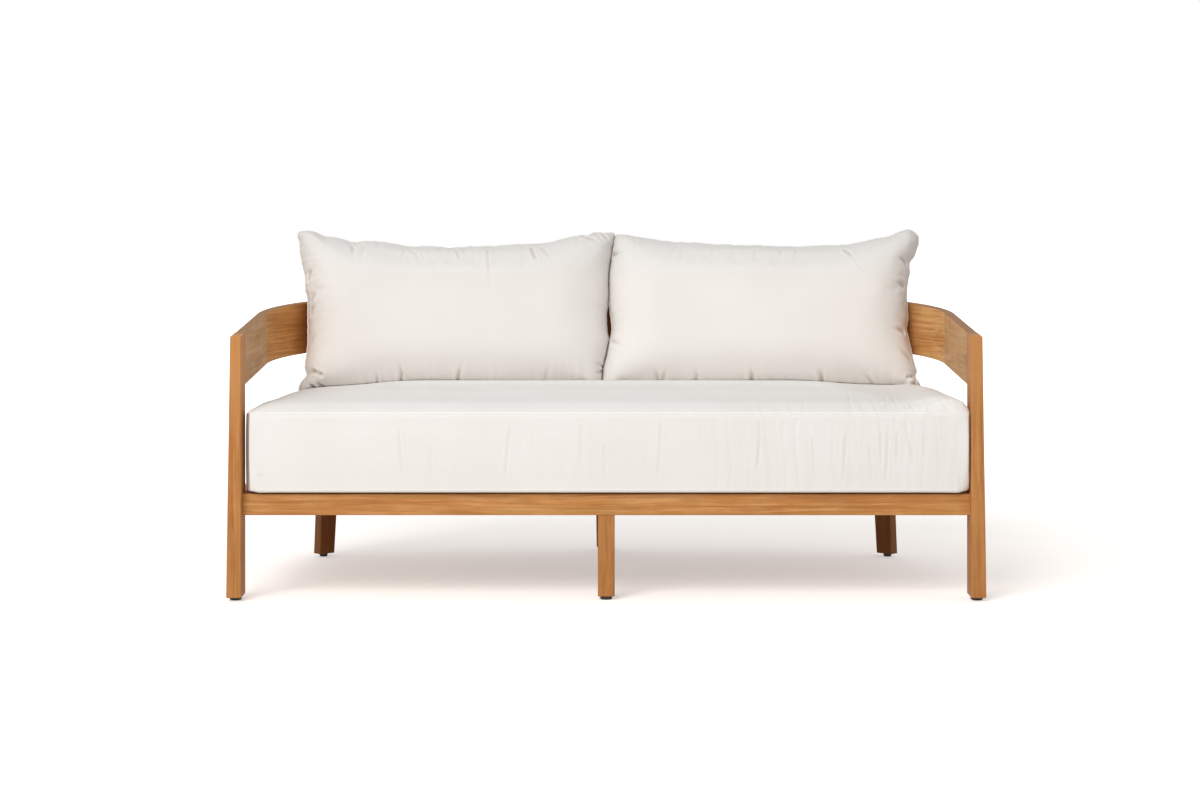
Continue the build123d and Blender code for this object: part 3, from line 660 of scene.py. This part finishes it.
def met_from_outside(tree, count, start_and_way):
    """Where lines from all round meet the cloth; the last argument gives one for each angle."""
    turns = (2 * math.pi * number / count for number in range(count))
    met = (tree.ray_cast(*start_and_way(math.cos(turn), math.sin(turn)))[0] for turn in turns)
    return np.array([point for point in met if point is not None])


def note(piece, name, values):
    """Adds to a value that the finish reads, one number for each point."""
    kept = piece.data.attributes.get(name)
    if kept:
        before = np.empty(len(values), np.float32)
        kept.data.foreach_get("value", before)
        values = np.maximum(values, before)
    else:
        kept = piece.data.attributes.new(name, "FLOAT", "POINT")
    kept.data.foreach_set("value", values.astype(np.float32))


# %% Sew a welt along a seam
def even_steps(line, step):
    """A closed line of points, spaced evenly and smoothed a little."""
    for _ in range(2):
        line = (np.roll(line, 1, axis=0) + 2 * line + np.roll(line, -1, axis=0)) / 4
    closed = np.vstack([line, line[:1]])
    passed = np.concatenate([[0], np.cumsum(np.linalg.norm(np.diff(closed, axis=0), axis=1))])
    places = np.linspace(0, passed[-1], int(passed[-1] / step), endpoint=False)
    return np.stack([np.interp(places, passed, closed[:, i]) for i in range(3)], axis=1), places


def welt(name, line, radius, step=0.007, sides=8):
    """A tube round a closed line, with each point's run along it and turn round it."""
    line, places = even_steps(line, step)
    ahead = np.roll(line, -1, axis=0) - np.roll(line, 1, axis=0)
    ahead /= np.linalg.norm(ahead, axis=1, keepdims=True)
    outward = line - line.mean(axis=0)
    outward -= ahead * (outward * ahead).sum(axis=1, keepdims=True)
    outward /= np.linalg.norm(outward, axis=1, keepdims=True)
    upward = np.cross(ahead, outward)
    mesh = bmesh.new()
    run, turn = mesh.verts.layers.float.new("run"), mesh.verts.layers.float.new("turn")
    rings = []
    for i, place in enumerate(places):
        rings.append([])
        for side in range(sides):
            angle = 2 * math.pi * side / sides
            offset = (outward[i] * math.cos(angle) + upward[i] * math.sin(angle)) * radius
            point = mesh.verts.new(line[i] + offset)
            point[run], point[turn] = place, side / sides
            rings[-1].append(point)
    for one, two in zip(rings, rings[1:] + rings[:1]):
        for side in range(sides):
            after = (side + 1) % sides
            mesh.faces.new((one[side], one[after], two[after], two[side]))
    bmesh.ops.recalc_face_normals(mesh, faces=mesh.faces)
    data = bpy.data.meshes.new(name)
    mesh.to_mesh(data)
    mesh.free()
    soft_shading(data)
    data.materials.append(welt_cloth)
    piece = bpy.data.objects.new(name, data)
    bpy.context.scene.collection.objects.link(piece)
    print(name, "length", round(float(places[-1]), 2), "m")
    return piece


# %% [markdown]
# ## The bench cushion
# One long cushion lies on the slats. Its side wall is a straight strip of cloth, sewn to the top
# and bottom with a fine welt. The front wall is flat, with soft upright folds towards the right.

# %% Shape the bench cushion
BENCH_FACE, SEAT_FILLING, SEAT_STRETCH = 0.010, 2.0, 0.003
BOXING_HEIGHT = 0.183
seat = filling_surface("seat_cushion_foam", "bench_cushion", BENCH_FACE)
puff(seat, SEAT_FILLING, SEAT_STRETCH)
refine(seat)
x, y, z = points_of(seat).T
folded_front = (y < front_edge + 0.03) & (x > -0.72)
folded_top = (y < front_edge + 0.22) & (x > 0.4) & (z > 0.4)
finer(seat, folded_front | folded_top)
seat_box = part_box("seat_cushion_cover")
seat_seam, seat_foot = seat_box[0].z + BOXING_HEIGHT, seat_box[0].z
x, y, z = points_of(seat).T
side_of, behind = np.sign(x), y - front_edge
to_right = ease((x + 0.1) / 0.5)

# Upright corners at the front: squarer than the filling.
CORNER_X, CORNER_BEHIND, CORNER_SIZE = 0.768, 0.048, 0.04
beyond, before = (abs(x) - CORNER_X) / CORNER_SIZE, (CORNER_BEHIND - behind) / CORNER_SIZE
at_corner = (beyond > 0) & (before > 0)
squarer = np.where(at_corner, 1 + 0.2 * np.sin(2 * np.arctan2(before, beyond)) ** 2, 1)
x = np.where(at_corner, side_of * (CORNER_X + CORNER_SIZE * beyond * squarer), x)
y = np.where(at_corner, front_edge + CORNER_BEHIND - CORNER_SIZE * before * squarer, y)
behind = y - front_edge

# The foot lies flat on the slats, and the front wall hardly bulges.
WALL_BEHIND, WALL_HOLD = 0.0068, 0.85
z = np.maximum(z, seat_foot + 0.0003)
in_front = ease((front_edge + 0.026 - y) / 0.006) * ease((0.806 - abs(x)) / 0.022)
below_seam = ease((seat_seam - 0.001 - z) / 0.008)
y += WALL_HOLD * below_seam * in_front * (front_edge + WALL_BEHIND - y)

# The right end touches the leg, the left end stands off it at the front.
RIGHT_END, LEFT_END, END_LIMIT = 0.811, 0.7975, 0.8145
right_end = RIGHT_END + 0.0035 * ease((behind - 0.008) / 0.01)
left_end = LEFT_END + 0.0155 * ease((behind - 0.012) / 0.05)
end = np.where(x > 0, right_end, left_end) - 0.006 * ease((behind - 0.45) / 0.15)
at_end = ease((abs(x) - np.where(x > 0, 0.79, 0.782)) / 0.012)
x = side_of * (abs(x) + at_end * 0.9 * ease((seat_seam - z) / 0.014 + 0.4) * (end - abs(x)))
x = side_of * np.minimum(abs(x), END_LIMIT)

# Shoulders: the filling stands up at the right end, and has sunk at the left end's back.
RAISED, RAISED_IN_FRONT, SUNK = 0.0125, 0.008, 0.005
above = ease((z - seat_seam + 0.055) / 0.055)
back_of_front = ease((behind - 0.008) / 0.022)
raised = (RAISED + RAISED_IN_FRONT * ease((0.5 - behind) / 0.2)) * ease((0.62 - behind) / 0.12)
raised = raised * (1 - 0.4 * ease((x - 0.798) / 0.014))
z += above * back_of_front * ease((x - 0.66) / 0.12) * raised
z -= above * ease((-x - 0.5) / 0.25) * SUNK * ease((behind - 0.25) / 0.2)

# Slack in the front wall and along the top seam, more of it to the right.
WALL_SLACK, MORE_SLACK, TOP_SLACK = 0.0002, 0.0004, 0.0007
front_wall = ease((front_edge + 0.02 - y) / 0.01) * ease((seat_seam - 0.004 - z) / 0.02)
front_wall = front_wall * ease((z - seat_foot) / 0.02)
draped = gathers(x + 0.005 * np.sin(z * 28 + x * 9), 7, 0.02, 0.11)
y -= front_wall * draped * (WALL_SLACK + MORE_SLACK * to_right)
pulled = gathers(x + 0.12 * (y - front_edge), 9, 0.02, 0.08)
z += above * ease((front_edge + 0.12 - y) / 0.08) * pulled * TOP_SLACK * to_right

# The foot turns under, and its corners are drawn up.
TURNED_UNDER, DRAWN_UP = 0.005, 0.004
y += TURNED_UNDER * ease((seat_foot + 0.008 - z) / 0.008) * ease((front_edge + 0.03 - y) / 0.015)
tuck = np.where(x < 0, ease((-x - 0.775) / 0.02), ease((x - 0.79) / 0.02))
tuck = tuck * ease((front_edge + 0.06 - y) / 0.05)
z += tuck * DRAWN_UP * ease((seat_foot + 0.03 - z) / 0.03)
move_points(seat, np.stack([x, y, z], axis=1))
# Painted shade: a dark line along the lowest few millimetres of the front wall.
shaded_foot = 0.9 * ease((seat_foot + 0.006 - z) / 0.005) * ease((front_edge + 0.04 - y) / 0.02)
note(seat, "painted_shade", shaded_foot)
print("bench cushion height", round(seat_box[1].z - seat_box[0].z, 3))

# %% Folds of the bench cushion
seat_folds = (
    (2.8, 0.7, 803.5, 414, 803, 405, 801.5, 394),
    (3.0, 1.0, 852, 413.5, 850, 404, 848, 393),
    (3.0, 1.0, 888.4, 414, 886, 405, 883.5, 396.5),
    (3.2, 1.0, 897, 407, 894, 401, 890, 395),
    (3.0, 1.0, 916, 412, 910, 406, 904, 398),
    (2.8, 0.8, 927, 413.5, 929, 407, 931, 400),
    (2.8, 0.8, 948, 411, 944, 405, 938, 398),
    (3.2, 0.75, 810, 413, 812.5, 445, 815.5, 485),
    (3.2, 0.95, 847, 413, 845, 441.3, 843.6, 486),
    (2.8, 0.3, 855, 416, 857, 436, 857, 470),
    (3.2, 0.9, 876, 413, 880.8, 432.4, 881.5, 475),
    (3.2, 1.0, 889, 414, 887.5, 450, 885.5, 487),
    (3.2, 0.65, 869.3, 440, 872, 487),
    (3.2, 0.95, 902, 413, 897, 440, 896, 470),
    (3.2, 0.65, 904, 416, 909, 440, 915, 470),
    (2.6, 0.6, 923, 413, 924.4, 430, 924, 462),
    (2.8, 0.4, 935, 415, 938, 435, 937, 470),
    (3.2, 0.8, 398.5, 425, 400, 445, 403.5, 482),
    (3.2, 0.5, 431, 445, 431.5, 482),
    (3.2, 0.85, 511, 424, 508, 445, 505, 484),
    (3.2, 0.5, 582, 420, 581, 470),
    (3.2, 0.6, 604, 440, 605, 486),
    (3.2, 0.7, 661.5, 418, 660, 450, 657, 484),
    (3.2, 1.0, 759, 416, 760, 440, 756, 478),
    (3.0, 0.2, 700, 416, 702, 440, 700, 470),
    (3.0, 0.25, 728, 430, 727, 478),
    (3.0, 1.6, 973, 466, 963, 471, 952, 480),
    (3.0, 1.6, 973, 474, 962, 479, 950, 488),
    (3.5, 0.8, 972, 430, 964, 440, 958, 455),
    (3.5, 0.8, 248, 482, 258, 476, 270, 474),
)
press(seat, seat_folds, both_ends=True, tint=0.0028)
seat.data.materials.append(ivory)
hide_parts("seat_cushion_cover", "seat_cushion_foam")
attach(seat, "seat_cushion")
seat_tree = tree_of(seat)


# %% Welts of the bench cushion
def level_seam(tree, height):
    """The cushion's outline at a height."""

    def inwards(cosine, sine):
        out = Vector((cosine, sine, 0))
        return Vector((0, 0, height)) + out * 3, -out

    return met_from_outside(tree, 1400, inwards)


bench_welts = (
    ("bench_welt_top", seat_seam - 0.001, 0.0014),
    ("bench_welt_foot", seat_foot + 0.010, 0.0008),
)
for name, height, radius in bench_welts:
    piece = welt(name, level_seam(seat_tree, height), radius)
    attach(piece, "seat_cushion")

# %% [markdown]
# ## The back cushions
# Two loose cushions lean against the band. Each is two panels sewn together all round with a welt.
# The seam is drawn in between the corners, and short puckers run in from it. Each cushion is worked
# on in its own flat seam plane: across, up and out. Where the two meet, the right one's seam lies a
# little behind the left one's.

# %% The seam plane of a back cushion
LEAN, TURN = math.radians(13), math.radians(6)
HALF_WIDTH, CORNER_HEIGHT = 0.382, 0.399
FOOT_FROM_BACK, FOOT_RISE, HALF_GAP = 0.213, 0.002, 0.002
back_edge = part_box("back_band")[1].y


def seam_plane(side):
    """Origin at the foot's middle, and the ways across, up and out; side is -1 or 1."""
    across = np.array((math.cos(TURN), -side * math.sin(TURN), 0))
    level = np.array((-side * math.sin(TURN) * math.cos(LEAN), -math.cos(TURN) * math.cos(LEAN), 0))
    out = level + np.array((0, 0, math.sin(LEAN)))
    middle = side * (HALF_WIDTH * math.cos(TURN) + HALF_GAP)
    origin = np.array((middle, back_edge - FOOT_FROM_BACK, seat_seam + FOOT_RISE))
    return origin, np.stack([across, np.cross(out, across), out])


def on_seam_plane(piece, side):
    """The piece's points as distances across, up and out."""
    origin, axes = seam_plane(side)
    return (points_of(piece) - origin) @ axes.T


def move_on_seam_plane(piece, side, local):
    origin, axes = seam_plane(side)
    move_points(piece, local @ axes + origin)


def seen_on_plane(place, side):
    """Where a place in the picture lies on the seam plane: across and up."""
    origin, axes = seam_plane(side)
    start, way = (np.array(v) for v in sight(*place))
    reach = ((origin - start) @ axes[2]) / (way @ axes[2])
    return (axes @ (start + way * reach - origin))[:2]


print("seam plane of the right cushion:", seam_plane(1)[0].round(4))

# %% The outlines that the photograph shows
outlines = {
    (-1, "outer"): (
        296.5, 394, 297.5, 389, 299.6, 383, 303, 379.5, 307, 376, 305.3, 371.5, 303.9, 368,
        304.6, 362, 306, 354, 307.2, 344, 307.4, 320, 307.4, 303, 306.5, 296, 304.5, 289,
        304.3, 281, 304.4, 277, 302.8, 271, 300.7, 261, 299, 251, 299, 243, 297, 237,
    ),
    (-1, "top"): (
        298, 232.7, 304, 230.5, 310, 230.5, 316, 231.8, 322, 235.3, 328, 236.4, 340, 237.7,
        352, 241.7, 358, 241.4, 364, 240.4, 376, 241, 388, 242.1, 400, 244.1, 406, 245.6,
        430, 245.9, 454, 246.8, 478, 246.3, 496, 245.6, 508, 244.2, 526, 243.6, 544, 242.6,
        556, 240.1, 568, 237.1, 580, 235.1, 586, 235.7, 592, 232.9, 598, 232.1, 612, 232.7,
    ),
    (-1, "inner"): (
        615, 236, 613.2, 244, 612, 249, 611.7, 254, 611.3, 258, 610.3, 264, 608.7, 274,
        608.5, 284, 608.6, 294, 608, 303, 606.6, 311, 606.2, 318, 606.4, 326, 607.4, 334,
        609, 341, 608, 346, 606.4, 354, 604.7, 361, 602.3, 369, 601.6, 381,
    ),
    (1, "inner"): (
        614.8, 236, 612.8, 244, 611.6, 249, 611.5, 254, 611, 258, 610, 264, 608.5, 274,
        608.4, 284, 608.6, 294, 609, 303, 610, 311, 611, 318, 611.6, 326, 611.4, 334,
        609.6, 341, 607.8, 346, 606.2, 354, 604.5, 361, 602.1, 369, 601.4, 381,
    ),
    (1, "top"): (
        617, 233.8, 628, 234.6, 640, 236.9, 652, 238.5, 664, 240.4, 676, 241.7, 694, 242,
        712, 243.6, 730, 244, 748, 245.1, 760, 244.6, 778, 245.9, 802, 245.7, 820, 244.9,
        844, 244.4, 850, 243.7, 862, 241.2, 874, 238.5, 886, 236.6, 892, 234.9, 898, 231.9,
        904, 229.9, 910, 229.8, 916, 233.5,
    ),
    (1, "outer"): (
        918, 236, 919, 241, 918.1, 246, 916.4, 251, 915, 256, 910.7, 261, 909.4, 266,
        910.1, 271, 909.3, 276, 908.4, 281, 907.2, 291, 907.2, 300, 908.5, 318, 907, 330,
        909.5, 340, 912.9, 355, 914.2, 362, 916.2, 368, 917.4, 371, 915.5, 375, 916.4, 380,
        920, 383, 921.4, 389, 923, 392,
    ),
}
print("places on the outlines:", sum(len(line) for line in outlines.values()) // 2)


# %% Draw the seam to those outlines
WELT_INSET, MEETING_INSET, WIDEST_GAP = 0.0022, 0.0005, 0.045


def edge_reach(tree, side, across, up, way):
    """How far the cushion reaches in its seam plane along way, at a place across or up."""
    origin, axes = seam_plane(side)
    start = np.array((across, up)) + np.array(way) * 0.6
    hit = tree.ray_cast(Vector(origin + start @ axes[:2]), Vector(-np.array(way) @ axes[:2]))[0]
    return None if hit is None else (axes @ (np.array(hit) - origin))[:2]


def draw_to_outline(piece, side):
    """Wide differences move the whole panel, narrow ones only the cloth by the seam."""
    ways = {"top": (0, 1), "outer": (side, 0), "inner": (-side, 0)}
    for edge in ("top", "outer", "inner") * 2 + ("top", "inner"):
        way = ways[edge]
        which, moved = (1, 0) if way[0] else (0, 1)
        inset = WELT_INSET if edge != "inner" else MEETING_INSET
        tree = tree_of(piece)
        along, gaps, reaches = [], [], []
        for place in pairs(outlines[side, edge]):
            wanted = seen_on_plane(place, side) - np.array(way) * inset
            across, up = (0, wanted[1]) if way[0] else (wanted[0], 0)
            now = edge_reach(tree, side, across, up, way)
            if now is not None:
                along.append(wanted[which])
                gaps.append(np.clip(wanted[moved] - now[moved], -WIDEST_GAP, WIDEST_GAP))
                reaches.append(now[moved])
        order = np.argsort(along)
        along, gaps, reaches = (np.array(v)[order] for v in (along, gaps, reaches))
        fine = np.arange(along[0] - 0.02, along[-1] + 0.02, 0.002)
        total = np.interp(fine, along, gaps)
        kernel = np.exp(-np.linspace(-2, 2, 61) ** 2)
        wide = np.convolve(np.pad(total, 30, mode="edge"), kernel / kernel.sum(), mode="valid")
        local = on_seam_plane(piece, side)
        inside = way[moved] * (np.interp(local[:, which], along, reaches) - local[:, moved])
        whole = ease(1 - inside / (0.3 if way[0] else 0.25))
        by_seam = np.exp(-np.maximum(inside, 0) / 0.028)
        local[:, moved] += np.interp(local[:, which], fine, wide) * whole
        local[:, moved] += np.interp(local[:, which], fine, total - wide) * by_seam
        move_on_seam_plane(piece, side, local)
        mean, most = (round(float(gap) * 1000, 1) for gap in (abs(gaps).mean(), abs(gaps).max()))
        print(piece.name, edge, "gap mean", mean, "mm, most", most)


# %% Rest it on the seat and the band
BAND_TOP_IN_FRONT = 0.593
SINK, SPREAD, SAG_HEIGHT = 0.012, 0.005, 0.16
LAP = 0.0045
SKIN = 0.001
band_rise = (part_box("back_band")[1].z - BAND_TOP_IN_FRONT) / (back_edge - front_edge)


def sag(piece, side):
    """Lets the foot sink, so that the filling spreads where it stands on the bench cushion."""
    local = on_seam_plane(piece, side)
    local[:, 1] -= SINK * ease(1 - local[:, 1] / SAG_HEIGHT)
    front_or_back = np.clip(local[:, 2] / 0.02, -1, 1)
    local[:, 2] += SPREAD * ease(1 - local[:, 1] / SAG_HEIGHT) * front_or_back
    move_on_seam_plane(piece, side, local)


def inside_seam(local, side, edge, moved, sign):
    """How far each point lies inside the outline's edge, measured across or up."""
    seam = np.array([seen_on_plane(place, side) for place in pairs(outlines[side, edge])])
    seam = seam[np.argsort(seam[:, 1 - moved])]
    reach = np.interp(local[:, 1 - moved], seam[:, 1 - moved], seam[:, moved])
    return np.maximum(sign * (reach - local[:, moved]), 0)


def lap(piece, side):
    """Where the cushions meet, the left one's seam lies a little in front of the right one's."""
    local = on_seam_plane(piece, side)
    local[:, 2] -= side * LAP * np.exp(-inside_seam(local, side, "inner", 0, -side) / 0.03)
    move_on_seam_plane(piece, side, local)


def rest(piece):
    """Keeps the cushion above the bench cushion and inside the band."""
    points = points_of(piece)
    for number in np.flatnonzero(points[:, 2] < seat_seam + 0.06):
        x, y, z = points[number]
        hit = seat_tree.ray_cast(Vector((x, y, 1)), Vector((0, 0, -1)))[0]
        if hit is not None and z < hit.z + SKIN:
            points[number, 2] = hit.z + SKIN
    band_top = BAND_TOP_IN_FRONT + (points[:, 1] - front_edge) * band_rise
    over_band = np.maximum(0, points[:, 2] - band_top)
    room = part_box("back_band")[0].y - SKIN - bend_centre_y + over_band * 1.5
    past_bend = np.maximum(abs(points[:, 0]) - bend_centre_x, 0)
    away = np.stack([past_bend, points[:, 1] - bend_centre_y], axis=1)
    distance = np.linalg.norm(away, axis=1)
    over = (distance > room) & (away[:, 1] > 0)
    away[over] *= (room[over] / distance[over])[:, None]
    bent = over & (away[:, 0] > 0)
    points[bent, 0] = np.sign(points[bent, 0]) * (bend_centre_x + away[bent, 0])
    points[over, 1] = bend_centre_y + away[over, 1]
    move_points(piece, points)


# %% Gathers and painted warm shade beside the seams
GATHER_DEPTH = 0.0011


def gather_seams(piece, side):
    """Small waves that run in from each seam, with warm shade painted beside it and along the foot.
    """
    points, normals = points_of(piece), points_of(piece, "normal")
    local = on_seam_plane(piece, side)
    wave, beside = np.zeros(len(points)), np.zeros(len(points))
    edges = (
        ("top", 1, 1, 0.03, 0.2),
        ("outer", 0, side, 0.04, 1.0 if side < 0 else 0.7),
        ("inner", 0, -side, 0.025, 0.5),
    )
    for number, (edge, moved, sign, reach, amount) in enumerate(edges):
        along, inside = local[:, 1 - moved], inside_seam(local, side, edge, moved, sign)
        slanted = along + 0.15 * inside * np.sin(along * 23 + side)
        waves = gathers(slanted, 20 + number + side, 0.018, 0.075)
        wave += waves * np.exp(-inside / 0.04)
        # Painted shade: warmer, darker cloth beside each seam, most on the left cushion's outer
        # side.
        beside = np.maximum(beside, np.exp(-inside / reach) * amount)
    foot = np.maximum(local[:, 1] - 0.02, 0)
    wave += gathers(local[:, 0], 40 + side, 0.02, 0.09) * np.exp(-foot / 0.03)
    # Painted shade along the foot as well.
    beside = np.maximum(beside, 0.4 * np.exp(-foot / 0.025))
    move_points(piece, points + normals * (GATHER_DEPTH * wave)[:, None])
    note(piece, "painted_shade", 0.5 * beside)


# %% Folds of the back cushions
left_folds = (
    (4, 2.6, 352.3, 241, 352.6, 248, 354, 264),
    (5, 1.4, 364.5, 240, 363, 250, 359, 270),
    (4, 1.2, 405, 245, 404, 252, 401, 268),
    (4, 1.4, 411, 245.5, 416, 254, 424, 272),
    (4, 2.0, 457, 246.5, 458, 255, 464, 272),
    (4, 2.2, 487.5, 246, 488.5, 268, 493, 300),
    (4, 2.8, 531.5, 243, 534.5, 256, 544, 277),
    (4, 2.0, 541.5, 242.5, 547, 254, 560, 270),
    (4.5, 3.6, 582, 236, 593.7, 239.5, 604, 248),
    (4, 3.2, 593, 233.5, 600, 238, 605.5, 245),
    (4, 3, 604, 232.5, 607, 238, 608.5, 246),
    (6, 4.6, 304, 279, 309, 274.5, 317, 263),
    (6, 3.2, 306, 313, 312, 309, 322, 302),
    (7, 2.6, 306, 301, 313, 296, 322, 287),
    (7, 2.2, 306, 341, 313, 337, 324, 333),
    (4, 7.5, 306.5, 373, 313, 370.5, 321, 374.5, 331, 386),
    (3.4, 5.5, 324, 391, 320, 384.5, 314.5, 379),
    (3.4, 6.5, 315, 391.5, 310.5, 385, 306.5, 380),
    (3.4, 5.5, 310, 392.5, 306.5, 388, 302, 383),
    (4, 3.6, 299, 393, 300.8, 386.8, 306.5, 380.2),
    (4, 2.4, 377.6, 383, 377.4, 378, 376, 368),
    (4.5, 3.0, 401.5, 382, 402, 374, 397, 352),
    (4.5, 3.4, 458, 381.5, 459, 374, 462, 360),
    (5, 2.0, 545, 381.5, 546, 375, 549, 362),
    (4, 3.6, 602.5, 367.5, 598, 364, 590, 361),
    (4, 3, 602, 371, 597, 373, 590, 377),
)
right_folds = (
    (5, 0.8, 636, 236, 635, 245, 631, 262),
    (5, 1.0, 676, 241.5, 674, 250, 669, 270),
    (5, 0.8, 712, 243.5, 713, 252, 717, 268),
    (4, 1.2, 756, 244.5, 755, 253, 757, 274),
    (4, 1.2, 780, 245, 781, 254, 778, 268),
    (4, 1.2, 797, 245.5, 796, 254, 790, 270),
    (4, 2.4, 843, 244, 849, 253, 860, 267, 873, 280),
    (5, 1.0, 874, 238.5, 870, 248, 866, 262),
    (5, 3.6, 613, 255, 617, 254, 624, 250),
    (6, 2.4, 612, 341, 618, 343, 627, 349),
    (5, 4, 912, 263, 903, 259.5, 893, 256),
    (6, 3.4, 909.5, 285, 901, 283.5, 891, 281),
    (6, 4, 908, 330.5, 901, 330, 889, 327),
    (7, 2.4, 914, 358, 904, 352, 897, 342),
    (4, 6, 915, 376, 908, 377, 903, 384),
    (7, 6, 917, 380, 915, 384, 913, 390),
    (9, 3, 918.5, 391, 916.5, 384, 914, 374),
    (5.5, 3, 658, 382, 657, 375, 654, 364),
    (5, 2.4, 662.9, 382, 664, 375, 668, 367),
    (5.5, 2.6, 696, 382.5, 697, 376, 695, 366),
    (5.5, 3.4, 752, 382, 752, 375, 750, 364),
    (5.5, 3.4, 822, 382.5, 821, 375, 818, 364),
    (5.5, 2.6, 872, 385.5, 868, 378, 862, 370),
)
print("folds of the back cushions:", len(left_folds), len(right_folds))


# %% Make both back cushions
def seam_line(tree, side):
    """The cushion's edge in its seam plane."""
    origin, axes = seam_plane(side)
    centre = np.array((0, CORNER_HEIGHT / 2))

    def inwards(cosine, sine):
        toward = np.array((cosine * HALF_WIDTH, sine * CORNER_HEIGHT / 2))
        start = Vector(origin + (centre + toward * 2.5) @ axes[:2])
        return start, Vector(-toward @ axes[:2]).normalized()

    return met_from_outside(tree, 700, inwards)


PILLOW_FACE, PILLOW_FILLING, PILLOW_STRETCH = 0.006, 4.0, 0.008
for side, word, folds in ((-1, "left", left_folds), (1, "right", right_folds)):
    pillow = filling_surface("back_cushion_fill_" + word, "back_cushion_" + word, PILLOW_FACE)
    puff(pillow, PILLOW_FILLING, PILLOW_STRETCH)
    smooth(pillow)
    across, up, out = on_seam_plane(pillow, side).T
    low_panel = ease(out / 0.03) * ease((up - 0.02) / 0.03) * ease((0.24 - up) / 0.08)
    even_out(pillow, low_panel * ease((0.36 - abs(across)) / 0.05), 80)
    refine(pillow)
    sag(pillow, side)
    draw_to_outline(pillow, side)
    lap(pillow, side)
    rest(pillow)
    gather_seams(pillow, side)
    press(pillow, folds, both_ends=False, tint=0.0036)
    rest(pillow)
    pillow.data.materials.append(ivory_back)
    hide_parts("back_cushion_cover_" + word, "back_cushion_fill_" + word)
    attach(pillow, "back_cushion_" + word)
    piping = welt("back_welt_" + word, seam_line(tree_of(pillow), side), 0.0022, step=0.006)
    rest(piping)
    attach(piping, "back_cushion_" + word)
    if side > 0:
        for piece in (pillow, piping):
            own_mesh(piece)

# %% [markdown]
# ## Floor and light
# The sofa stands on a plain pale floor in soft, even light from the camera's side, as in a studio.
# The white background is only what the camera sees: it adds no light to the wood.

# %% Floor
bpy.ops.mesh.primitive_plane_add(size=80)
floor = bpy.context.object
floor.name = "studio_floor"
paper = Finish("studio_paper")
rays = paper.node("ShaderNodeLightPath")
seen = rays["Is Camera Ray"].larger(rays["Is Glossy Ray"]).larger(rays["Is Transmission Ray"])
x, y, z = paper.place()
far = ((x**2 + (y + 0.2) ** 2).root()).between(1.2, 4.5)
paper.set(Base_Color=(0.88, 0.83, 0.785, 1), Roughness=0.9, Specular_IOR_Level=0.0)
brightness = seen * (0.44 + far * 0.52)
glow = paper.node("ShaderNodeEmission", {"Color": (1, 1, 1, 1), "Strength": brightness})[0]
matt = Amount(paper, paper.surface.outputs[0])
both = paper.node("ShaderNodeAddShader", {0: matt, 1: glow})[0]
paper.tree.links.new(both.socket, paper.tree.nodes["Material Output"].inputs[0])
floor.data.materials.append(paper.material)
print("floor laid")

# %% Lamp and sky
KEY_PLACE, KEY_AIM, SKY_LIGHT = (-3.2, -6.8, 6.0), (0, 0, 0.35), 0.53
bpy.ops.object.light_add(type="AREA", location=KEY_PLACE)
lamp = bpy.context.object
lamp.name = "lamp_key"
lamp.data.size, lamp.data.energy = 4.8, 530
lamp.rotation_euler = (Vector(KEY_AIM) - Vector(KEY_PLACE)).to_track_quat("-Z", "Y").to_euler()
world = bpy.data.worlds.new("studio")
bpy.context.scene.world = world
world.use_nodes = True
sky = world.node_tree
path = sky.nodes.new("ShaderNodeLightPath")
shown = path.outputs["Is Camera Ray"]
for ray in ("Is Glossy Ray", "Is Transmission Ray"):
    either = sky.nodes.new("ShaderNodeMath")
    either.operation = "MAXIMUM"
    sky.links.new(shown, either.inputs[0])
    sky.links.new(path.outputs[ray], either.inputs[1])
    shown = either.outputs[0]
level = sky.nodes.new("ShaderNodeMapRange")
level.inputs["To Min"].default_value, level.inputs["To Max"].default_value = SKY_LIGHT, 1.0
sky.links.new(shown, level.inputs["Value"])
sky.links.new(level.outputs[0], sky.nodes["Background"].inputs["Strength"])
sky.nodes["Background"].inputs["Color"].default_value = (1, 1, 1, 1)
bpy.context.scene.view_settings.view_transform = "Standard"
print("lamp and sky set:", lamp.name, world.name)
